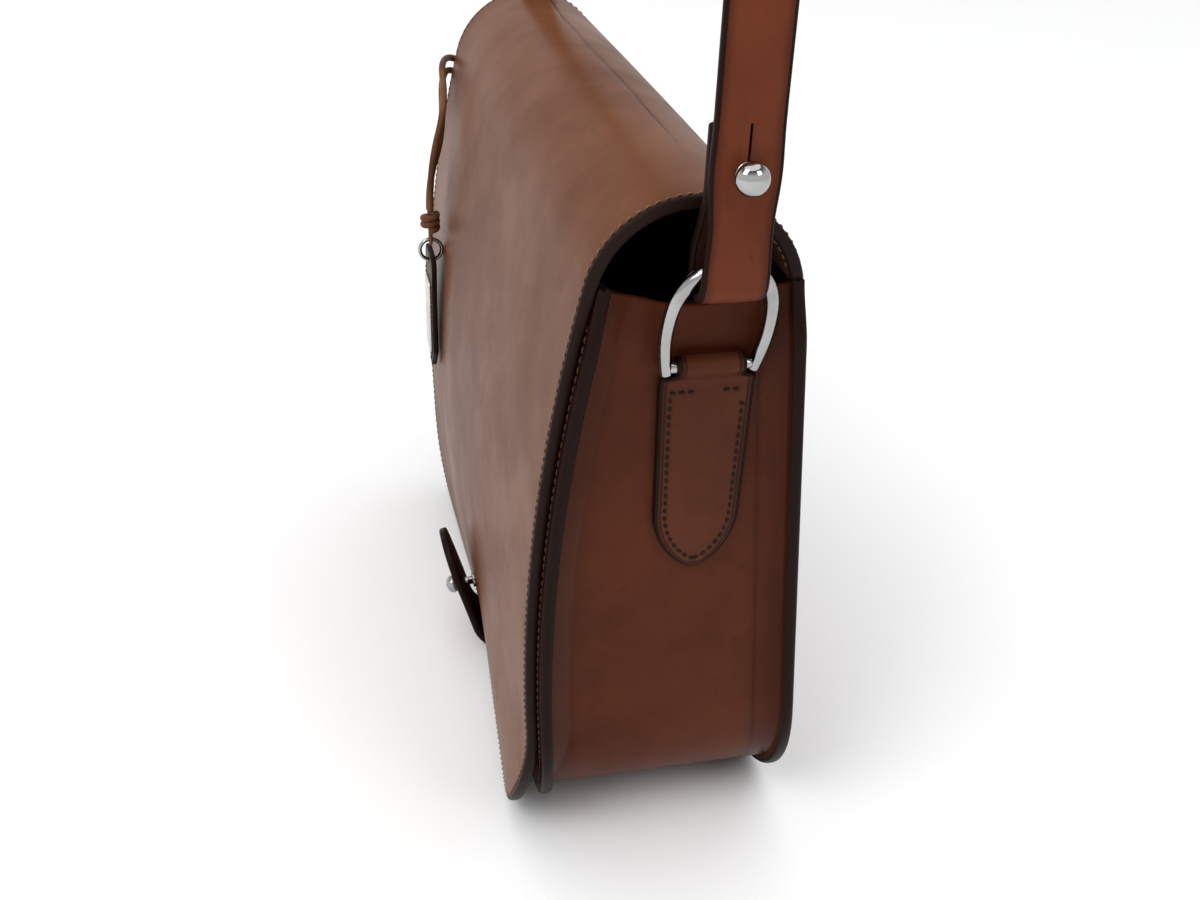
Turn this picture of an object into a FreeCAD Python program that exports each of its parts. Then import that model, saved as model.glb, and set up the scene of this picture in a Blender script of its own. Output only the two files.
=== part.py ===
"""Saddle handbag: a leather body with a full front flap, a carrying strap and a hang tag.

Millimetres. X runs across the bag, -Y is the front, +Z is up. The origin lies on the
surface that the bag stands on, midway between the feet of its front and back panels.
"""
import FreeCAD
import Part
import Sketcher
import math
import os
import re

# Driving sizes, in millimetres and degrees: name, value, what it is.
DRIVING = [
    ("bag_width", 290.0, "width over the seam flanges"),
    ("panel_height", 226.0, "height of the front and back panels"),
    ("base_depth", 91.0, "depth over the panels at the foot"),
    ("front_top", 36.5, "front panel's face ahead of the middle at the mouth"),
    ("back_top", 27.0, "back panel's face behind the middle at the mouth"),
    ("front_belly", 11.0, "how far the front swells past a straight line from foot to mouth"),
    ("corner_radius", 60.0, "lower corners of panels and flap"),
    ("leather", 2.0, "body leather"),
    ("lining", 0.8, "lining of the body"),
    ("seam_flange", 9.0, "how far the seams stand out past the gusset"),
    ("fit_gap", 0.3, "play between neighbours that are not sewn"),
    ("flap_inset", 4.0, "flap edge inside the seam edge, each side"),
    ("flap_bottom", 6.0, "height of the flap's lower edge"),
    ("flap_skin", 2.2, "outer leather of the flap"),
    ("flap_backing", 1.8, "inner leather of the flap"),
    ("ring_drop", 27.0, "ring bar below the panel tops"),
    ("ring_inside", 26.0, "clear width of a ring"),
    ("ring_wire", 4.0, "wire of a ring"),
    ("ring_leg", 22.5, "bar to the centre of the ring's arch"),
    ("ring_corner", 3.5, "bend between bar and leg, on the wire's centre"),
    ("ring_tilt", 16.0, "outward lean of a ring"),
    ("running_gap", 0.05, "radial play of a ring bar in its chape"),
    ("chape_wall", 1.7, "leather round a ring bar"),
    ("chape_thick", 3.2, "sewn part of a chape"),
    ("chape_width", 30.0, "width of a chape's shield"),
    ("chape_neck", 21.0, "width of a chape round its bar"),
    ("chape_length", 76.0, "bar to the tip of a chape"),
    ("chape_shoulder", 5.0, "bar to the wide part of a chape"),
    ("chape_tip", 27.0, "length of the rounded tip of a chape"),
    ("chape_round", 22.5, "radius of the two sides of that tip"),
    ("strap_width", 20.0, "width of the strap"),
    ("strap_thick", 3.0, "thickness of the strap"),
    ("strap_loop", 5.0, "inner radius of the strap's fold"),
    ("strap_seat", 1.0, "how far the fold is drawn up under the ring"),
    ("strap_shift", 0.4, "fold outside the middle of the ring's reach"),
    ("strap_swing", 25.0, "swing of the strap each way"),
    ("strap_rise", 400.0, "height where the strap's arch begins"),
    ("strap_tail", 57.0, "fold to the end of the folded tail"),
    ("strap_stud_rise", 33.0, "fold to the strap stud"),
    ("stud_head", 10.0, "diameter of a strap stud's ball"),
    ("stud_neck", 5.0, "diameter of a stud's neck"),
    ("stud_foot", 9.0, "diameter of a stud's foot"),
    ("stud_foot_thick", 1.5, "thickness of a stud's foot"),
    ("keyhole_slit", 14.0, "length of the slit over a keyhole"),
    ("slit_width", 1.0, "width of that slit"),
    ("keyhole_play", 0.2, "radial play of a stud's neck in its keyhole"),
    ("screw_shank", 3.0, "diameter of a stud screw"),
    ("screw_head", 8.0, "diameter of a stud screw's head"),
    ("screw_head_thick", 1.2, "thickness of a stud screw's head"),
    ("screw_bite", 4.0, "depth of a screw in its stud"),
    ("tab_width", 34.0, "width of the closing tab"),
    ("tab_thick", 3.4, "thickness of the closing tab"),
    ("tab_length", 54.0, "fold to the tip of the closing tab"),
    ("tab_lean", 16.0, "outward lean of the closing tab"),
    ("tab_tip", 15.0, "corner radius of the tab's tip"),
    ("tab_floor", 0.7, "tab clear of the standing surface"),
    ("tab_relief", 5.0, "height of the seam's cut-back for the tab"),
    ("tab_anchor", 26.0, "sewn length of the tab under the bag"),
    ("tab_step", 7.2, "run over which that length climbs to the gusset"),
    ("notch_play", 0.9, "seam's cut-back wider than the tab, each side"),
    ("closure_head", 8.0, "diameter of the closing stud's ball"),
    ("closure_rise", 26.0, "fold of the tab to its buttonhole"),
    ("button_play", 0.6, "radial play of the stud's ball in the buttonhole"),
    ("tag_width", 26.0, "width of the hang tag"),
    ("tag_length", 58.0, "length of the hang tag"),
    ("tag_thick", 2.4, "thickness of the hang tag"),
    ("tag_point", 12.0, "length of the hang tag's pointed end"),
    ("tag_eye", 1.6, "radius of the hang tag's eye"),
    ("tag_corner", 4.8, "upper corners of the hang tag, and its edge over the eye"),
    ("plate_width", 15.0, "width of the tag's metal plate"),
    ("plate_length", 36.0, "length of the tag's metal plate"),
    ("plate_thick", 1.2, "thickness of the tag's metal plate"),
    ("plate_corner", 3.0, "corners of the tag's metal plate"),
    ("tag_ring_radius", 5.0, "tag ring, on the wire's centre"),
    ("tag_ring_wire", 1.8, "wire of the tag ring"),
    ("knot_radius", 4.6, "radius of the lace's knot"),
    ("knot_waist", 3.7, "radius between the knot's two wraps"),
    ("knot_height", 10.0, "height of the lace's knot"),
    ("lug_width", 5.0, "width of the lace's eye under the knot"),
    ("lug_thick", 3.0, "thickness of the lace's eye"),
    ("lug_length", 6.0, "length of the lace's eye"),
    ("lug_play", 0.6, "radial play of the tag ring in that eye"),
    ("lace", 3.0, "diameter of the lace"),
]

# Places worked out from the driving sizes.
DERIVED = [
    ("half_width", "bag_width / 2"),
    ("back_slope", "(base_depth / 2 - back_top) / panel_height"),
    ("front_run", "base_depth / 2 - front_top"),
    ("front_chord", "sqrt(panel_height ^ 2 + front_run ^ 2)"),
    ("front_radius", "front_chord ^ 2 / front_belly / 8 + front_belly / 2"),
    ("front_share", "(front_radius - front_belly) / front_chord"),
    ("front_y", "panel_height * front_share - (base_depth / 2 + front_top) / 2"),
    ("front_z", "panel_height / 2 - front_run * front_share"),
    ("gusset_face", "half_width - seam_flange"),
    ("arch_foot", "panel_height + fit_gap"),
    ("flap_thick", "flap_skin + flap_backing"),
    ("flap_inside", "front_radius + fit_gap"),
    ("joint_rise", "(arch_foot - front_z) / flap_inside"),
    ("joint_run", "sqrt(1 - joint_rise ^ 2)"),
    ("mouth_depth", "back_top - front_y + flap_inside * joint_run"),
    ("arch_inside", "(mouth_depth ^ 2 - flap_thick ^ 2) / (flap_thick + mouth_depth * joint_run) / 2"),
    ("arch_step", "flap_inside - arch_inside"),
    ("arch_y", "front_y - arch_step * joint_run"),
    ("arch_z", "front_z + arch_step * joint_rise"),
    ("flap_half", "half_width - flap_inset"),
    ("ring_bar_z", "panel_height - ring_drop"),
    ("ring_bar_x", "gusset_face + ring_wire / 2 + running_gap + chape_wall + fit_gap / 2"),
    ("ring_half", "(ring_inside + ring_wire) / 2"),
    ("ring_eye_x", "ring_bar_x + ring_leg * sin(ring_tilt)"),
    ("ring_eye_z", "ring_bar_z + ring_leg * cos(ring_tilt)"),
    ("loop_reach", "asin(strap_width / 2 / ring_half) + strap_swing * 1 deg"),
    ("fold_x", "ring_eye_x + ring_half * sin(ring_tilt) * (1 + cos(loop_reach)) / 2 + strap_shift"),
    ("fold_z", "ring_eye_z + sqrt(ring_half ^ 2 - strap_width ^ 2 / 4) * cos(ring_tilt) + strap_seat"),
    ("strap_x", "fold_x + strap_loop + strap_thick / 2"),
    ("tail_x", "strap_x - strap_thick - stud_foot_thick - running_gap"),
    ("stud_z", "fold_z + strap_stud_rise"),
    ("stud_seat_x", "tail_x + strap_thick / 2"),
    ("tab_fold_z", "tab_floor + tab_thick / 2"),
    ("flap_face", "flap_inside + flap_thick"),
    ("flap_foot_y", "front_y - sqrt(flap_face ^ 2 - (flap_bottom - front_z) ^ 2)"),
    ("tab_fold_y", "flap_foot_y - fit_gap - tab_thick / 2"),
    ("closure_z", "tab_fold_z + closure_rise * cos(tab_lean)"),
    ("closure_y", "front_y - sqrt(flap_face ^ 2 - (closure_z - front_z) ^ 2)"),
    ("closure_lean", "asin((closure_z - front_z) / flap_face)"),
    ("closure_tab_y", "tab_fold_y - closure_rise * sin(tab_lean) - tab_thick"),
]

# Route of the doubled lace, chosen by hand: from the knot up over the flap's shoulder, round
# the front leg of the left ring and back to the knot.
LACE_ROUTE = [
    (-92.3, -60.5, 168.0),
    (-92.3, -60.5, 181.0),
    (-99.0, -52.5, 201.0),
    (-143.5, -48.0, 218.0),
    (-149.6, -38.0, 214.6),
    (-149.6, -27.5, 210.7),
    (-138.9, -19.7, 209.0),
    (-138.4, -10.4, 209.3),
    (-147.6, -10.4, 209.3),
    (-150.0, -22.0, 212.3),
    (-150.3, -36.0, 219.8),
    (-142.0, -48.5, 224.5),
    (-99.0, -51.0, 214.0),
    (-87.7, -60.5, 188.0),
    (-87.7, -60.5, 168.0),
]
# Share of the shorter run that a bend may use, shortest run worth an edge, and how far a
# swept volume may be from section times length.
ARC_SHARE = 0.45
SHORTEST_RUN = 1e-6
SWEEP_TOLERANCE = 0.01

doc = FreeCAD.newDocument("saddle_handbag")
dims = doc.addObject("Spreadsheet::Sheet", "dims")
places = doc.addObject("Spreadsheet::Sheet", "places")
SHEET_OF = {}
parts = []


def bind(text):
    """Turn a formula in plain names into one that names the sheets' cells."""
    return re.sub(r"[a-z_]+", lambda word: SHEET_OF.get(word.group(0), word.group(0)), text)


def fill_sheets():
    """Write the driving sizes as numbers and the places as formulas."""
    for row, (name, value, meaning) in enumerate(DRIVING, start=1):
        dims.set("A%d" % row, meaning)
        dims.set("B%d" % row, str(value))
        dims.setAlias("B%d" % row, name)
        SHEET_OF[name] = "dims." + name
    doc.recompute()
    for row, (name, formula) in enumerate(DERIVED, start=1):
        places.set("A%d" % row, name.replace("_", " "))
        places.set("B%d" % row, "=" + bind(formula))
        places.setAlias("B%d" % row, name)
        SHEET_OF[name] = "places." + name
        doc.recompute()


def value_of(text):
    """Number that a formula gives with the present sizes."""
    result = dims.evalExpression(bind(text))
    return float(getattr(result, "Value", result))


def tie(thing, **formulas):
    """Bind properties of an object to formulas; a double underscore stands for a dot."""
    for name, formula in formulas.items():
        thing.setExpression(name.replace("__", "."), bind(formula))


def place(thing, x="0", y="0", z="0"):
    """Bind an object's position to formulas."""
    thing.setExpression(".Placement.Base.x", bind(x))
    thing.setExpression(".Placement.Base.y", bind(y))
    thing.setExpression(".Placement.Base.z", bind(z))


def turn(thing, axis, angle):
    """Turn an object about one axis by a bound angle."""
    thing.Placement = FreeCAD.Placement(FreeCAD.Vector(), FreeCAD.Rotation(FreeCAD.Vector(*axis), 1.0))
    thing.setExpression(".Placement.Rotation.Angle", bind(angle))


def keep(thing, label):
    """Name an object as a sub-part that is written out."""
    thing.Label = label
    parts.append(thing)
    return thing


def new_body(name):
    return doc.addObject("PartDesign::Body", name)


def plane_of(body, role):
    return next(item for item in body.Origin.OriginFeatures if item.Role == role)


def arc_between(start, end, radius, anticlockwise):
    """Arc of up to a half turn from start to end."""
    middle = (start + end) * 0.5
    chord = end - start
    rise = math.sqrt(max(radius ** 2 - chord.Length ** 2 / 4, 0.0))
    across = FreeCAD.Vector(-chord.y, chord.x, 0).normalize()
    centre = middle + across * (rise if anticlockwise else -rise)
    first, last = (start, end) if anticlockwise else (end, start)
    angles = [math.atan2(p.y - centre.y, p.x - centre.x) for p in (first, last)]
    if angles[1] <= angles[0]:
        angles[1] += 2 * math.pi
    return Part.ArcOfCircle(Part.Circle(centre, FreeCAD.Vector(0, 0, 1), radius), *angles)


def pin_point(sketch, edge, end, across, along):
    """Tie one end of an edge to two formulas measured from the sketch's origin."""
    for kind, formula, axis in (("DistanceX", across, -2), ("DistanceY", along, -1)):
        if formula == "0":
            sketch.addConstraint(Sketcher.Constraint("PointOnObject", edge, end, axis))
            continue
        index = sketch.addConstraint(Sketcher.Constraint(kind, -1, 1, edge, end, value_of(formula)))
        sketch.setExpression("Constraints[%d]" % index, bind(formula))


def draw_circle(sketch, across, along, radius):
    """Circle with bound centre and radius."""
    centre = FreeCAD.Vector(value_of(across), value_of(along), 0)
    edge = sketch.addGeometry(Part.Circle(centre, FreeCAD.Vector(0, 0, 1), value_of(radius)))
    pin_point(sketch, edge, 3, across, along)
    index = sketch.addConstraint(Sketcher.Constraint("Radius", edge, value_of(radius)))
    sketch.setExpression("Constraints[%d]" % index, bind(radius))


def draw_loop(sketch, points):
    """Closed outline. A point is (across, along) or (across, along, radius, turn), where the
    radius makes the edge that ends at the point an arc: turn is "left" or "right"."""
    spots = [FreeCAD.Vector(value_of(p[0]), value_of(p[1]), 0) for p in points]
    edges = []
    for index in range(len(points)):
        goal = (index + 1) % len(points)
        arc = points[goal][2:]
        if arc:
            left = arc[1] == "left"
            shape = arc_between(spots[index], spots[goal], value_of(arc[0]), left)
            edge = sketch.addGeometry(shape)
            edges.append((edge, 1, 2) if left else (edge, 2, 1))
            size = sketch.addConstraint(Sketcher.Constraint("Radius", edge, value_of(arc[0])))
            sketch.setExpression("Constraints[%d]" % size, bind(arc[0]))
        else:
            edge = sketch.addGeometry(Part.LineSegment(spots[index], spots[goal]))
            edges.append((edge, 1, 2))
    for index, (edge, start, _) in enumerate(edges):
        before, _, end = edges[index - 1]
        sketch.addConstraint(Sketcher.Constraint("Coincident", before, end, edge, start))
        pin_point(sketch, edge, start, *points[index][:2])


def draw(body, name, role, loops=(), circles=()):
    """Sketch on one of a body's own planes."""
    sketch = body.newObject("Sketcher::SketchObject", name)
    sketch.AttachmentSupport = [(plane_of(body, role), "")]
    sketch.MapMode = "FlatFace"
    for loop in loops:
        draw_loop(sketch, loop)
    for circle in circles:
        draw_circle(sketch, *circle)
    doc.recompute()
    return sketch


def pad(body, sketch, length):
    """Symmetric pad of a bound length."""
    feature = body.newObject("PartDesign::Pad", sketch.Name + "_pad")
    feature.Profile = sketch
    feature.SideType = "Symmetric"
    tie(feature, Length=length)
    doc.recompute()
    return feature


def cut_through(body, sketch):
    """Pocket through the whole body both ways, which has to take something away."""
    before = body.Shape.Volume
    feature = body.newObject("PartDesign::Pocket", sketch.Name + "_cut")
    feature.Profile = sketch
    feature.SideType = "Symmetric"
    feature.Type = "ThroughAll"
    doc.recompute()
    if body.Shape.Volume >= before:
        raise RuntimeError("%s cuts nothing" % feature.Name)
    return feature


def revolve(body, sketch):
    """Full turn about the sketch's own horizontal axis."""
    feature = body.newObject("PartDesign::Revolution", sketch.Name + "_turn")
    feature.Profile = sketch
    feature.ReferenceAxis = (sketch, ["H_Axis"])
    feature.Angle = 360.0
    doc.recompute()
    return feature


def bag_outline(half, foot, top, radius):
    """Panel outline: straight top and sides, rounded lower corners."""
    return [
        ("-(%s)" % half, top),
        ("-(%s)" % half, "%s + %s" % (foot, radius)),
        ("-(%s) + %s" % (half, radius), foot, radius, "left"),
        ("%s - (%s)" % (half, radius), foot),
        (half, "%s + %s" % (foot, radius), radius, "left"),
        (half, top),
    ]


def frame_loop(half, foot, top):
    """Rectangle well outside an outline, to cut away what lies beyond it."""
    reach = "bag_width"
    return [
        ("-(%s) - %s" % (half, reach), "%s - %s" % (foot, reach)),
        ("%s + %s" % (half, reach), "%s - %s" % (foot, reach)),
        ("%s + %s" % (half, reach), "%s + %s" % (top, reach)),
        ("-(%s) - %s" % (half, reach), "%s + %s" % (top, reach)),
    ]


def inset_outline(inset, top):
    """Bag outline drawn in from the seam edge."""
    return bag_outline("half_width - (%s)" % inset, inset, top, "corner_radius - (%s)" % inset)


def drawn_back(points):
    """The same outline drawn the other way round, its left arcs turned into right ones."""
    back = []
    arc = ()
    for point in reversed(points):
        back.append(point[:2] + ((arc[0], "right") if arc else ()))
        arc = point[2:]
    return back


def trim(body, name, half, foot, top, outline):
    """Cut a body back to an outline seen from the front."""
    return cut_through(body, draw(body, name, "XZ_Plane", [frame_loop(half, foot, top), outline]))


def front_at(depth, height):
    """Place of the round front, a depth inside its outer face, at a height."""
    return "front_y - sqrt((front_radius - (%s)) ^ 2 - (%s - front_z) ^ 2)" % (depth, height)


def back_at(depth, height):
    """Place of the straight back, a depth inside its outer face, at a height."""
    return "base_depth / 2 - back_slope * (%s) - (%s)" % (height, depth)


def front_slab(depth, thick):
    """Side view of a layer that follows the round front."""
    deep = "%s + %s" % (depth, thick)
    top = "panel_height"
    return [
        (front_at(depth, "0"), "0", "front_radius - (%s)" % depth, "left"),
        (front_at(deep, "0"), "0"),
        (front_at(deep, top), top, "front_radius - (%s)" % deep, "right"),
        (front_at(depth, top), top),
    ]


def back_slab(depth, thick):
    """Side view of a layer that follows the straight back."""
    deep = "%s + %s" % (depth, thick)
    top = "panel_height"
    return [(back_at(depth, "0"), "0"), (back_at(depth, top), top), (back_at(deep, top), top),
            (back_at(deep, "0"), "0")]


def panel_layer(name, slab, inset="0", opening=None):
    """Layer of a side view across the bag: inset draws the outline in, opening leaves a
    flange of that width."""
    body = new_body(name)
    top = "panel_height"
    pad(body, draw(body, name + "_slab", "YZ_Plane", [slab]), "bag_width")
    half = "half_width - (%s)" % inset
    trim(body, name + "_outline", half, inset, top, inset_outline(inset, top))
    if opening:
        hollow = inset_outline(opening, "panel_height + seam_flange")
        cut_through(body, draw(body, name + "_hollow", "XZ_Plane", [hollow]))
    return body


def tab_notch(body, name):
    """Cut the front seam back where the closing tab passes under it."""
    half = "tab_width / 2 + notch_play"
    notch = [
        ("-(%s)" % half, "-seam_flange"),
        (half, "-seam_flange"),
        (half, "tab_relief"),
        ("-(%s)" % half, "tab_relief"),
    ]
    cut_through(body, draw(body, name, "XZ_Plane", [notch]))


def gusset_strip(name, inset, thick, reach):
    """U-shaped strip between two faces that lie a reach inside the front and the back."""
    body = new_body(name)
    top = "panel_height"
    inner = "%s + %s" % (inset, thick)
    strip = inset_outline(inset, top) + drawn_back(inset_outline(inner, top))
    pad(body, draw(body, name + "_wall", "XZ_Plane", [strip]), "base_depth * 2")
    under, over = "-seam_flange", "panel_height + seam_flange"
    far = "base_depth * 2"
    ahead = [
        (front_at(reach, under), under),
        (front_at(reach, over), over, "front_radius - (%s)" % reach, "right"),
        ("-(%s)" % far, over),
        ("-(%s)" % far, under),
    ]
    behind = [(back_at(reach, under), under), (far, under), (far, over), (back_at(reach, over), over)]
    cut_through(body, draw(body, name + "_wedges", "YZ_Plane", [ahead, behind]))
    return body


def make_shell():
    """Front, back and gusset leather, and the lining behind each."""
    front = keep(panel_layer("front_panel", front_slab("0", "leather")), "front_panel")
    tab_notch(front, "front_notch")
    keep(panel_layer("back_panel", back_slab("0", "leather")), "back_panel")
    wall = "seam_flange + leather"
    strip = gusset_strip("gusset_strip", "seam_flange", "leather", "leather")
    front_lip = panel_layer("front_lip", front_slab("leather", "leather"), opening=wall)
    tab_notch(front_lip, "lip_notch")
    back_lip = panel_layer("back_lip", back_slab("leather", "leather"), opening=wall)
    gusset = doc.addObject("Part::MultiFuse", "gusset_whole")
    gusset.Shapes = [strip, front_lip, back_lip]
    keep(gusset, "gusset")
    bare = wall + " + running_gap"
    keep(panel_layer("front_lining", front_slab("leather", "lining"), inset=bare), "front_lining")
    keep(panel_layer("back_lining", back_slab("leather", "lining"), inset=bare), "back_lining")
    reach = "leather + lining + running_gap"
    keep(gusset_strip("gusset_lining", bare, "lining", reach), "gusset_lining")


def flap_layer(name, skip, thick):
    """One leather of the flap: round down the front, with a tighter arch over the mouth that
    runs on smoothly from it."""
    body = new_body(name)
    outer = "flap_thick - (%s)" % skip
    inner = "flap_thick - (%s) - (%s)" % (skip, thick)

    def foot(layer):
        return "front_y - sqrt((flap_inside + %s) ^ 2 - (flap_bottom - front_z) ^ 2)" % layer

    def joint(layer):
        return ("front_y - (flap_inside + %s) * joint_run" % layer,
                "front_z + (flap_inside + %s) * joint_rise" % layer)

    def heel(layer):
        return "arch_y + sqrt((arch_inside + %s) ^ 2 - (arch_foot - arch_z) ^ 2)" % layer

    profile = [
        (foot(outer), "flap_bottom", "flap_inside + %s" % outer, "left"),
        (foot(inner), "flap_bottom"),
        joint(inner) + ("flap_inside + %s" % inner, "right"),
        (heel(inner), "arch_foot", "arch_inside + %s" % inner, "right"),
        (heel(outer), "arch_foot"),
        joint(outer) + ("arch_inside + %s" % outer, "left"),
    ]
    pad(body, draw(body, name + "_profile", "YZ_Plane", [profile]), "flap_half * 2")
    top = "panel_height + base_depth"
    outline = bag_outline("flap_half", "flap_bottom", top, "corner_radius")
    trim(body, name + "_outline", "flap_half", "flap_bottom", top, outline)
    return body


def make_flap():
    """Outer leather and backing of the flap, with the hole for the closing stud."""
    skin = keep(flap_layer("flap_outer", "0", "flap_skin"), "flap_outer")
    shank_z = "closure_z - flap_skin / 2 * sin(closure_lean)"
    shank = ("0", shank_z, "screw_shank / 2 + fit_gap")
    cut_through(skin, draw(skin, "skin_hole", "XZ_Plane", circles=[shank]))
    backing = keep(flap_layer("flap_backing_layer", "flap_skin", "flap_backing"), "flap_lining")
    seat_z = "closure_z - (flap_skin + screw_head_thick / 2) * sin(closure_lean)"
    seat = ("0", seat_z, "screw_head / 2 + fit_gap")
    cut_through(backing, draw(backing, "backing_hole", "XZ_Plane", circles=[seat]))


def make_ring(name, side):
    """Wire ring with a straight bar and a round arch, leaning outward from its bar."""
    body = new_body(name)
    bar = "ring_half - ring_corner"
    path = [
        ("0", "0"),
        (bar, "0"),
        ("ring_half", "ring_corner", "ring_corner", "left"),
        ("ring_half", "ring_leg"),
        ("0", "ring_leg + ring_half", "ring_half", "left"),
        ("-ring_half", "ring_leg", "ring_half", "left"),
        ("-ring_half", "ring_corner"),
        ("-(%s)" % bar, "0", "ring_corner", "left"),
    ]
    spine = draw(body, name + "_path", "YZ_Plane", [path])
    section = draw(body, name + "_wire", "XZ_Plane", circles=[("0", "0", "ring_wire / 2")])
    pipe = body.newObject("PartDesign::AdditivePipe", name + "_pipe")
    pipe.Profile = section
    pipe.Spine = (spine, [])
    turn(body, (0, 1, 0), "%sring_tilt" % side)
    place(body, "%sring_bar_x" % side, "0", "ring_bar_z")
    doc.recompute()
    return keep(body, name)


def make_chape(name, side):
    """Leather that holds a ring bar: a shield sewn to the gusset, rolled round the bar."""
    body = new_body(name)
    half = "chape_width / 2"
    neck = "chape_neck / 2"
    shield = [
        ("-(%s)" % neck, "0"),
        ("-(%s)" % neck, "-chape_shoulder / 2"),
        ("-(%s)" % half, "-chape_shoulder"),
        ("-(%s)" % half, "chape_tip - chape_length"),
        ("0", "-chape_length", "chape_round", "left"),
        (half, "chape_tip - chape_length", "chape_round", "left"),
        (half, "-chape_shoulder"),
        (neck, "-chape_shoulder / 2"),
        (neck, "0"),
    ]
    sketch = draw(body, name + "_shield", "YZ_Plane", [shield])
    plate = body.newObject("PartDesign::Pad", name + "_plate")
    plate.Profile = sketch
    tie(plate, Length="chape_thick")
    doc.recompute()
    centre = ("ring_bar_x - gusset_face", "0", "ring_wire / 2 + running_gap + chape_wall")
    roll = draw(body, name + "_roll", "XZ_Plane", circles=[centre])
    pad(body, roll, "chape_neck")
    bore = ("ring_bar_x - gusset_face", "0", "ring_wire / 2 + running_gap")
    cut_through(body, draw(body, name + "_bore", "XZ_Plane", circles=[bore]))
    turn(body, (0, 0, 1), "0" if side == "" else "180")
    place(body, "%sgusset_face" % side, "0", "ring_bar_z")
    doc.recompute()
    return keep(body, name)


def route_wire(points, radii):
    """Straight runs joined by tangent arcs: each inner point has its own radius."""
    edges = []
    last = points[0]
    for index in range(1, len(points) - 1):
        corner = points[index]
        back = (points[index - 1] - corner).normalize()
        ahead = (points[index + 1] - corner).normalize()
        half_turn = (math.pi - back.getAngle(ahead)) / 2
        cut = radii[index - 1] * math.tan(half_turn)
        start = corner + back * cut
        end = corner + ahead * cut
        bisector = (back + ahead).normalize()
        reach = radii[index - 1] / math.cos(half_turn) - radii[index - 1]
        if (start - last).Length > SHORTEST_RUN:
            edges.append(Part.LineSegment(last, start).toShape())
        edges.append(Part.Arc(start, corner + bisector * reach, end).toShape())
        last = end
    if (points[-1] - last).Length > SHORTEST_RUN:
        edges.append(Part.LineSegment(last, points[-1]).toShape())
    return Part.Wire(edges)


def path_object(name, wire):
    """Helper object that carries a path."""
    thing = doc.addObject("Part::Feature", name)
    thing.Shape = wire
    return thing


def sweep(name, section, path):
    """Solid of a section along a path, its volume compared with section times length."""
    thing = doc.addObject("Part::Sweep", name)
    thing.Sections = [section]
    thing.Spine = (path, [])
    thing.Solid = True
    thing.Frenet = False
    doc.recompute()
    expected = Part.Face(Part.Wire(section.Shape.Edges)).Area * path.Shape.Length
    if abs(thing.Shape.Volume / expected - 1) > SWEEP_TOLERANCE:
        raise RuntimeError("%s has volume %.0f, not %.0f" % (name, thing.Shape.Volume, expected))
    return thing


def strap_path():
    """Middle line of the strap: tail, fold, leg and arch, then the same mirrored."""
    fold_radius = value_of("strap_loop + strap_thick / 2")
    outer, fold = value_of("strap_x"), value_of("fold_x")
    foot, rise = value_of("fold_z"), value_of("strap_rise")
    tail, knee = value_of("tail_x"), value_of("stud_z - stud_foot")
    knee_radius = value_of("strap_stud_rise / 2")
    half = [
        (tail, foot + value_of("strap_tail"), None),
        (tail, knee, knee_radius),
        (fold - fold_radius, foot + fold_radius, knee_radius),
        (fold - fold_radius, foot - fold_radius, fold_radius),
        (outer, foot - fold_radius, fold_radius),
        (outer, rise + outer, outer),
    ]
    mirrored = [(-x, z, radius) for x, z, radius in reversed(half)]
    stops = half + mirrored
    points = [FreeCAD.Vector(x, 0, z) for x, z, _ in stops]
    wire = route_wire(points, [radius for _, _, radius in stops[1:-1]])
    print("strap middle line %.0f mm" % wire.Length)
    return path_object("strap_middle", wire)


def bar_along_x(name, radius, start, length, height):
    """Round cutter along X."""
    cutter = doc.addObject("Part::Cylinder", name)
    cutter.Placement = FreeCAD.Placement(FreeCAD.Vector(), FreeCAD.Rotation(FreeCAD.Vector(0, 1, 0), 90))
    tie(cutter, Radius=radius, Height=length)
    place(cutter, start, "0", height)
    return cutter


def make_strap():
    """Strap with both ends folded round the rings: keyholes outside, screw holes in the tails."""
    section = doc.addObject("Sketcher::SketchObject", "strap_section")
    half_thick, half_wide = "strap_thick / 2", "strap_width / 2"
    draw_loop(section, [
        ("tail_x - %s" % half_thick, "-%s" % half_wide),
        ("tail_x + %s" % half_thick, "-%s" % half_wide),
        ("tail_x + %s" % half_thick, half_wide),
        ("tail_x - %s" % half_thick, half_wide),
    ])
    place(section, "0", "0", "fold_z + strap_tail")
    doc.recompute()
    blank = sweep("strap_blank", section, strap_path())
    cutters = []
    neck = "stud_neck / 2 + keyhole_play"
    outer_start = "strap_x - strap_thick / 2 - running_gap / 2"
    outer_length = "strap_thick * 2"
    tail_start = "tail_x - strap_thick / 2 - running_gap"
    tail_length = "strap_thick + running_gap * 2"
    for side in ("right", "left"):
        mirror = "%s" if side == "right" else "-(%s)"
        outer = outer_start if side == "right" else "%s + %s" % (outer_start, outer_length)
        inner = tail_start if side == "right" else "%s + %s" % (tail_start, tail_length)
        cutters.append(bar_along_x("keyhole_" + side, neck, mirror % outer, outer_length, "stud_z"))
        shank = "screw_shank / 2 + running_gap"
        cutters.append(bar_along_x("tail_hole_" + side, shank, mirror % inner, tail_length, "stud_z"))
        slit = doc.addObject("Part::Box", "slit_" + side)
        tie(slit, Length=outer_length, Width="slit_width", Height="stud_neck / 2 + keyhole_slit")
        place(slit, mirror % outer, "-slit_width / 2", "stud_z")
        cutters.append(slit)
    tools = doc.addObject("Part::MultiFuse", "strap_cutters")
    tools.Shapes = cutters
    strap = doc.addObject("Part::Cut", "strap_cut")
    strap.Base = blank
    strap.Tool = tools
    doc.recompute()
    return keep(strap, "shoulder_strap")


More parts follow.
